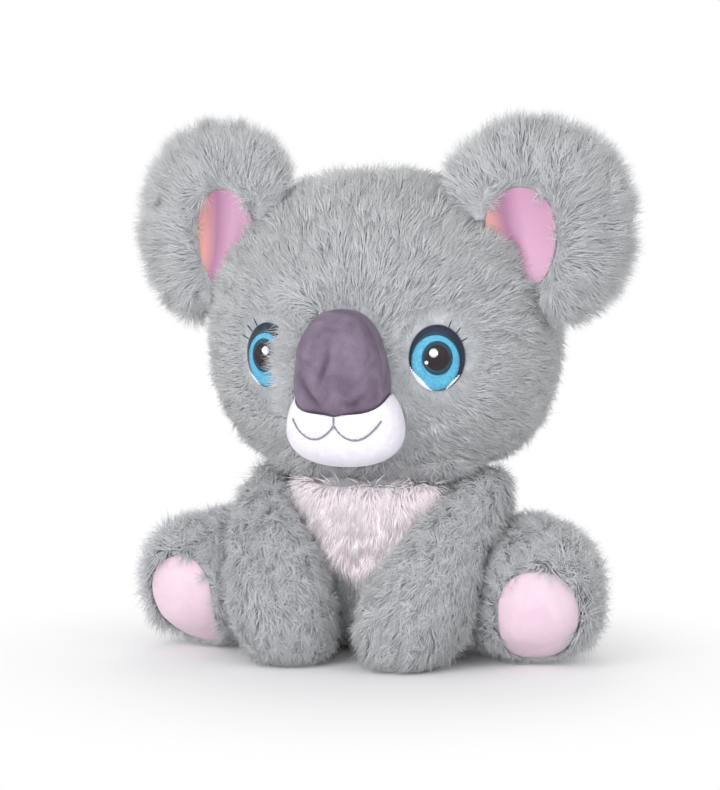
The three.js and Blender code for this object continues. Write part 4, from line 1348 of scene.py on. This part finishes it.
face_pieces = ((muzzle, "muzzle", "white_velour", 0.8), (nose, "nose", "grey_velour", 0.9),
               (mouth, "mouth_stitch", "grey_thread", None))
for piece, node, finish, filled in face_pieces:
    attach(piece, "head")
    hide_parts(node)

# %% [markdown]
# A pad or a lining is a patch: a rounded outline filled with rings of points, laid over what is
# under it and closed behind. The soles' pads take the swell of the foot. The linings take the bowl
# of the ear, with the upright fold that the real satin has.

# %% Patches
RINGS, PARTS = 14, 56            # of a patch's points
PAD_FRONT, PAD_BACK = 2.0, 0.6   # how far a pad's front and its back stand off the backing
LINING_SINK, LINING_BACK = 0.3, 1.0  # how far a lining's front and its back lie inside the CAD scoop
FOOT_DEEP = -18                  # backing further in than this isn't the front of the foot


def patch(name, upper, lower, finish):
    """A closed patch between two surfaces, each a function of (share of the radius, turn)."""
    spots = disc_spots(RINGS, PARTS)
    points = [surface(r, turn) for surface in (upper, lower) for r, turn in spots]
    made = thing(name, points, closed_faces(RINGS, PARTS), finish)
    shape = bmesh.new()
    shape.from_mesh(made.data)
    uv = shape.loops.layers.uv.new("OFBake")
    for face in shape.faces:
        face.smooth = True
        for loop in face.loops:
            r, turn = spots[loop.vert.index % len(spots)]
            loop[uv].uv = (0.5 + 0.47 * r * math.cos(turn), 0.5 + 0.47 * r * math.sin(turn))
    bmesh.ops.recalc_face_normals(shape, faces=shape.faces)
    shape.to_mesh(made.data)
    shape.free()
    return finer(made)


def swell(u, v, order):
    """The terms u^i v^j of a smooth surface of this order."""
    u, v = np.asarray(u, float) / 10, np.asarray(v, float) / 10
    return np.stack([u ** i * v ** j for i in range(order + 1) for j in range(order + 1 - i)], -1)


def pad_surfaces(word, side):
    """The front and the back of a sole's pad, fitted to the foot's backing."""
    middle, across, up, outward = sole(side)
    off = places(skins[f"{word}_leg"])[0] - middle
    u, v, w = off @ across, off @ up, off @ outward
    oval = inside_oval(u, v - PAD_LOW, PAD_WIDE, PAD_TALL, PAD_SQUARE)
    edge = np.where(w > FOOT_DEEP, oval, OUTSIDE)
    # The pad's back follows the foot closely, and its front is flatter, as the stiffer cloth is
    close = np.linalg.lstsq(swell(u, v, 5)[edge < 0.08], w[edge < 0.08], rcond=None)[0]
    flat = np.linalg.lstsq(swell(u, v, 2)[edge < -0.2], w[edge < -0.2], rcond=None)[0]
    miss = np.abs(swell(u, v, 5) @ close - w)[edge < 0]
    print(word, "foot: the back of the pad misses the backing by", miss.max().round(2), "mm at most")

    def point(r, turn, lift, front):
        uneven = 1 + 0.02 * math.sin(3 * turn + side) + 0.012 * math.sin(5 * turn + 1)
        c, s = math.cos(turn), math.sin(turn)
        square = (abs(c) ** PAD_SQUARE + abs(s) ** PAD_SQUARE) ** (-1 / PAD_SQUARE)
        u, v = PAD_WIDE * r * uneven * c * square, PAD_TALL * r * uneven * s * square + PAD_LOW
        deep = float(swell(u, v, 5) @ close)
        if front:
            deep = max(deep, float(swell(u, v, 2) @ flat) - 0.4)
        return middle + across * u + up * v + outward * (deep + lift)

    def pad_front(r, turn):
        crown = 0.35 * (1 - r ** 2) - 0.7 * r ** 8 + 0.06 * math.sin(4 * turn + 7 * r) * r
        return point(r, turn, PAD_FRONT + crown, True)

    def pad_back(r, turn):
        return point(r * 0.97, turn, PAD_BACK, False)

    return pad_front, pad_back


def lining_surfaces(side):
    """The front and the back of an ear's lining, in the scoop, with the satin's upright fold."""
    middle, across, up, outward, _ = lining_frame(side)

    def point(r, turn, sink):
        c, s = math.cos(turn), math.sin(turn)
        x = side * LINING_OUT + LINING_WIDE * r * c * (1 + 0.2 * s)
        z = LINING_UP + LINING_HIGH * r * s
        inside = max(0.0, 1 - (x / SCOOP_WIDE) ** 2 - (z / SCOOP_HIGH) ** 2)
        bowl = SCOOP_OUT - SCOOP_DEEP * math.sqrt(inside)
        inward = -side * x
        low = 1 / (1 + math.exp((z - 1) / 3))
        fold = -1.1 * math.exp(-((inward - 2.2 + 0.08 * z) / 1.6) ** 2) * low
        fold += 0.5 * math.exp(-((inward - 5.5) / 2.0) ** 2)
        return middle + across * x + up * z + outward * (bowl + fold * (1 - r ** 4) - sink)

    def lining_front(r, turn):
        return point(r, turn, LINING_SINK + 0.5 * r ** 10)

    def lining_back(r, turn):
        return point(r * 0.985, turn, LINING_BACK)

    return lining_front, lining_back


for word, side in SIDES.items():
    pad = patch(f"{word}_sole_pad", *pad_surfaces(word, side), pink_velour)
    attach(pad, f"{word}_leg")
    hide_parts(f"{word}_foot_pad")

    lining = patch(f"{word}_satin_lining", *lining_surfaces(side), pink_satin)
    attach(lining, f"{word}_ear")
    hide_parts(f"{word}_ear_lining")
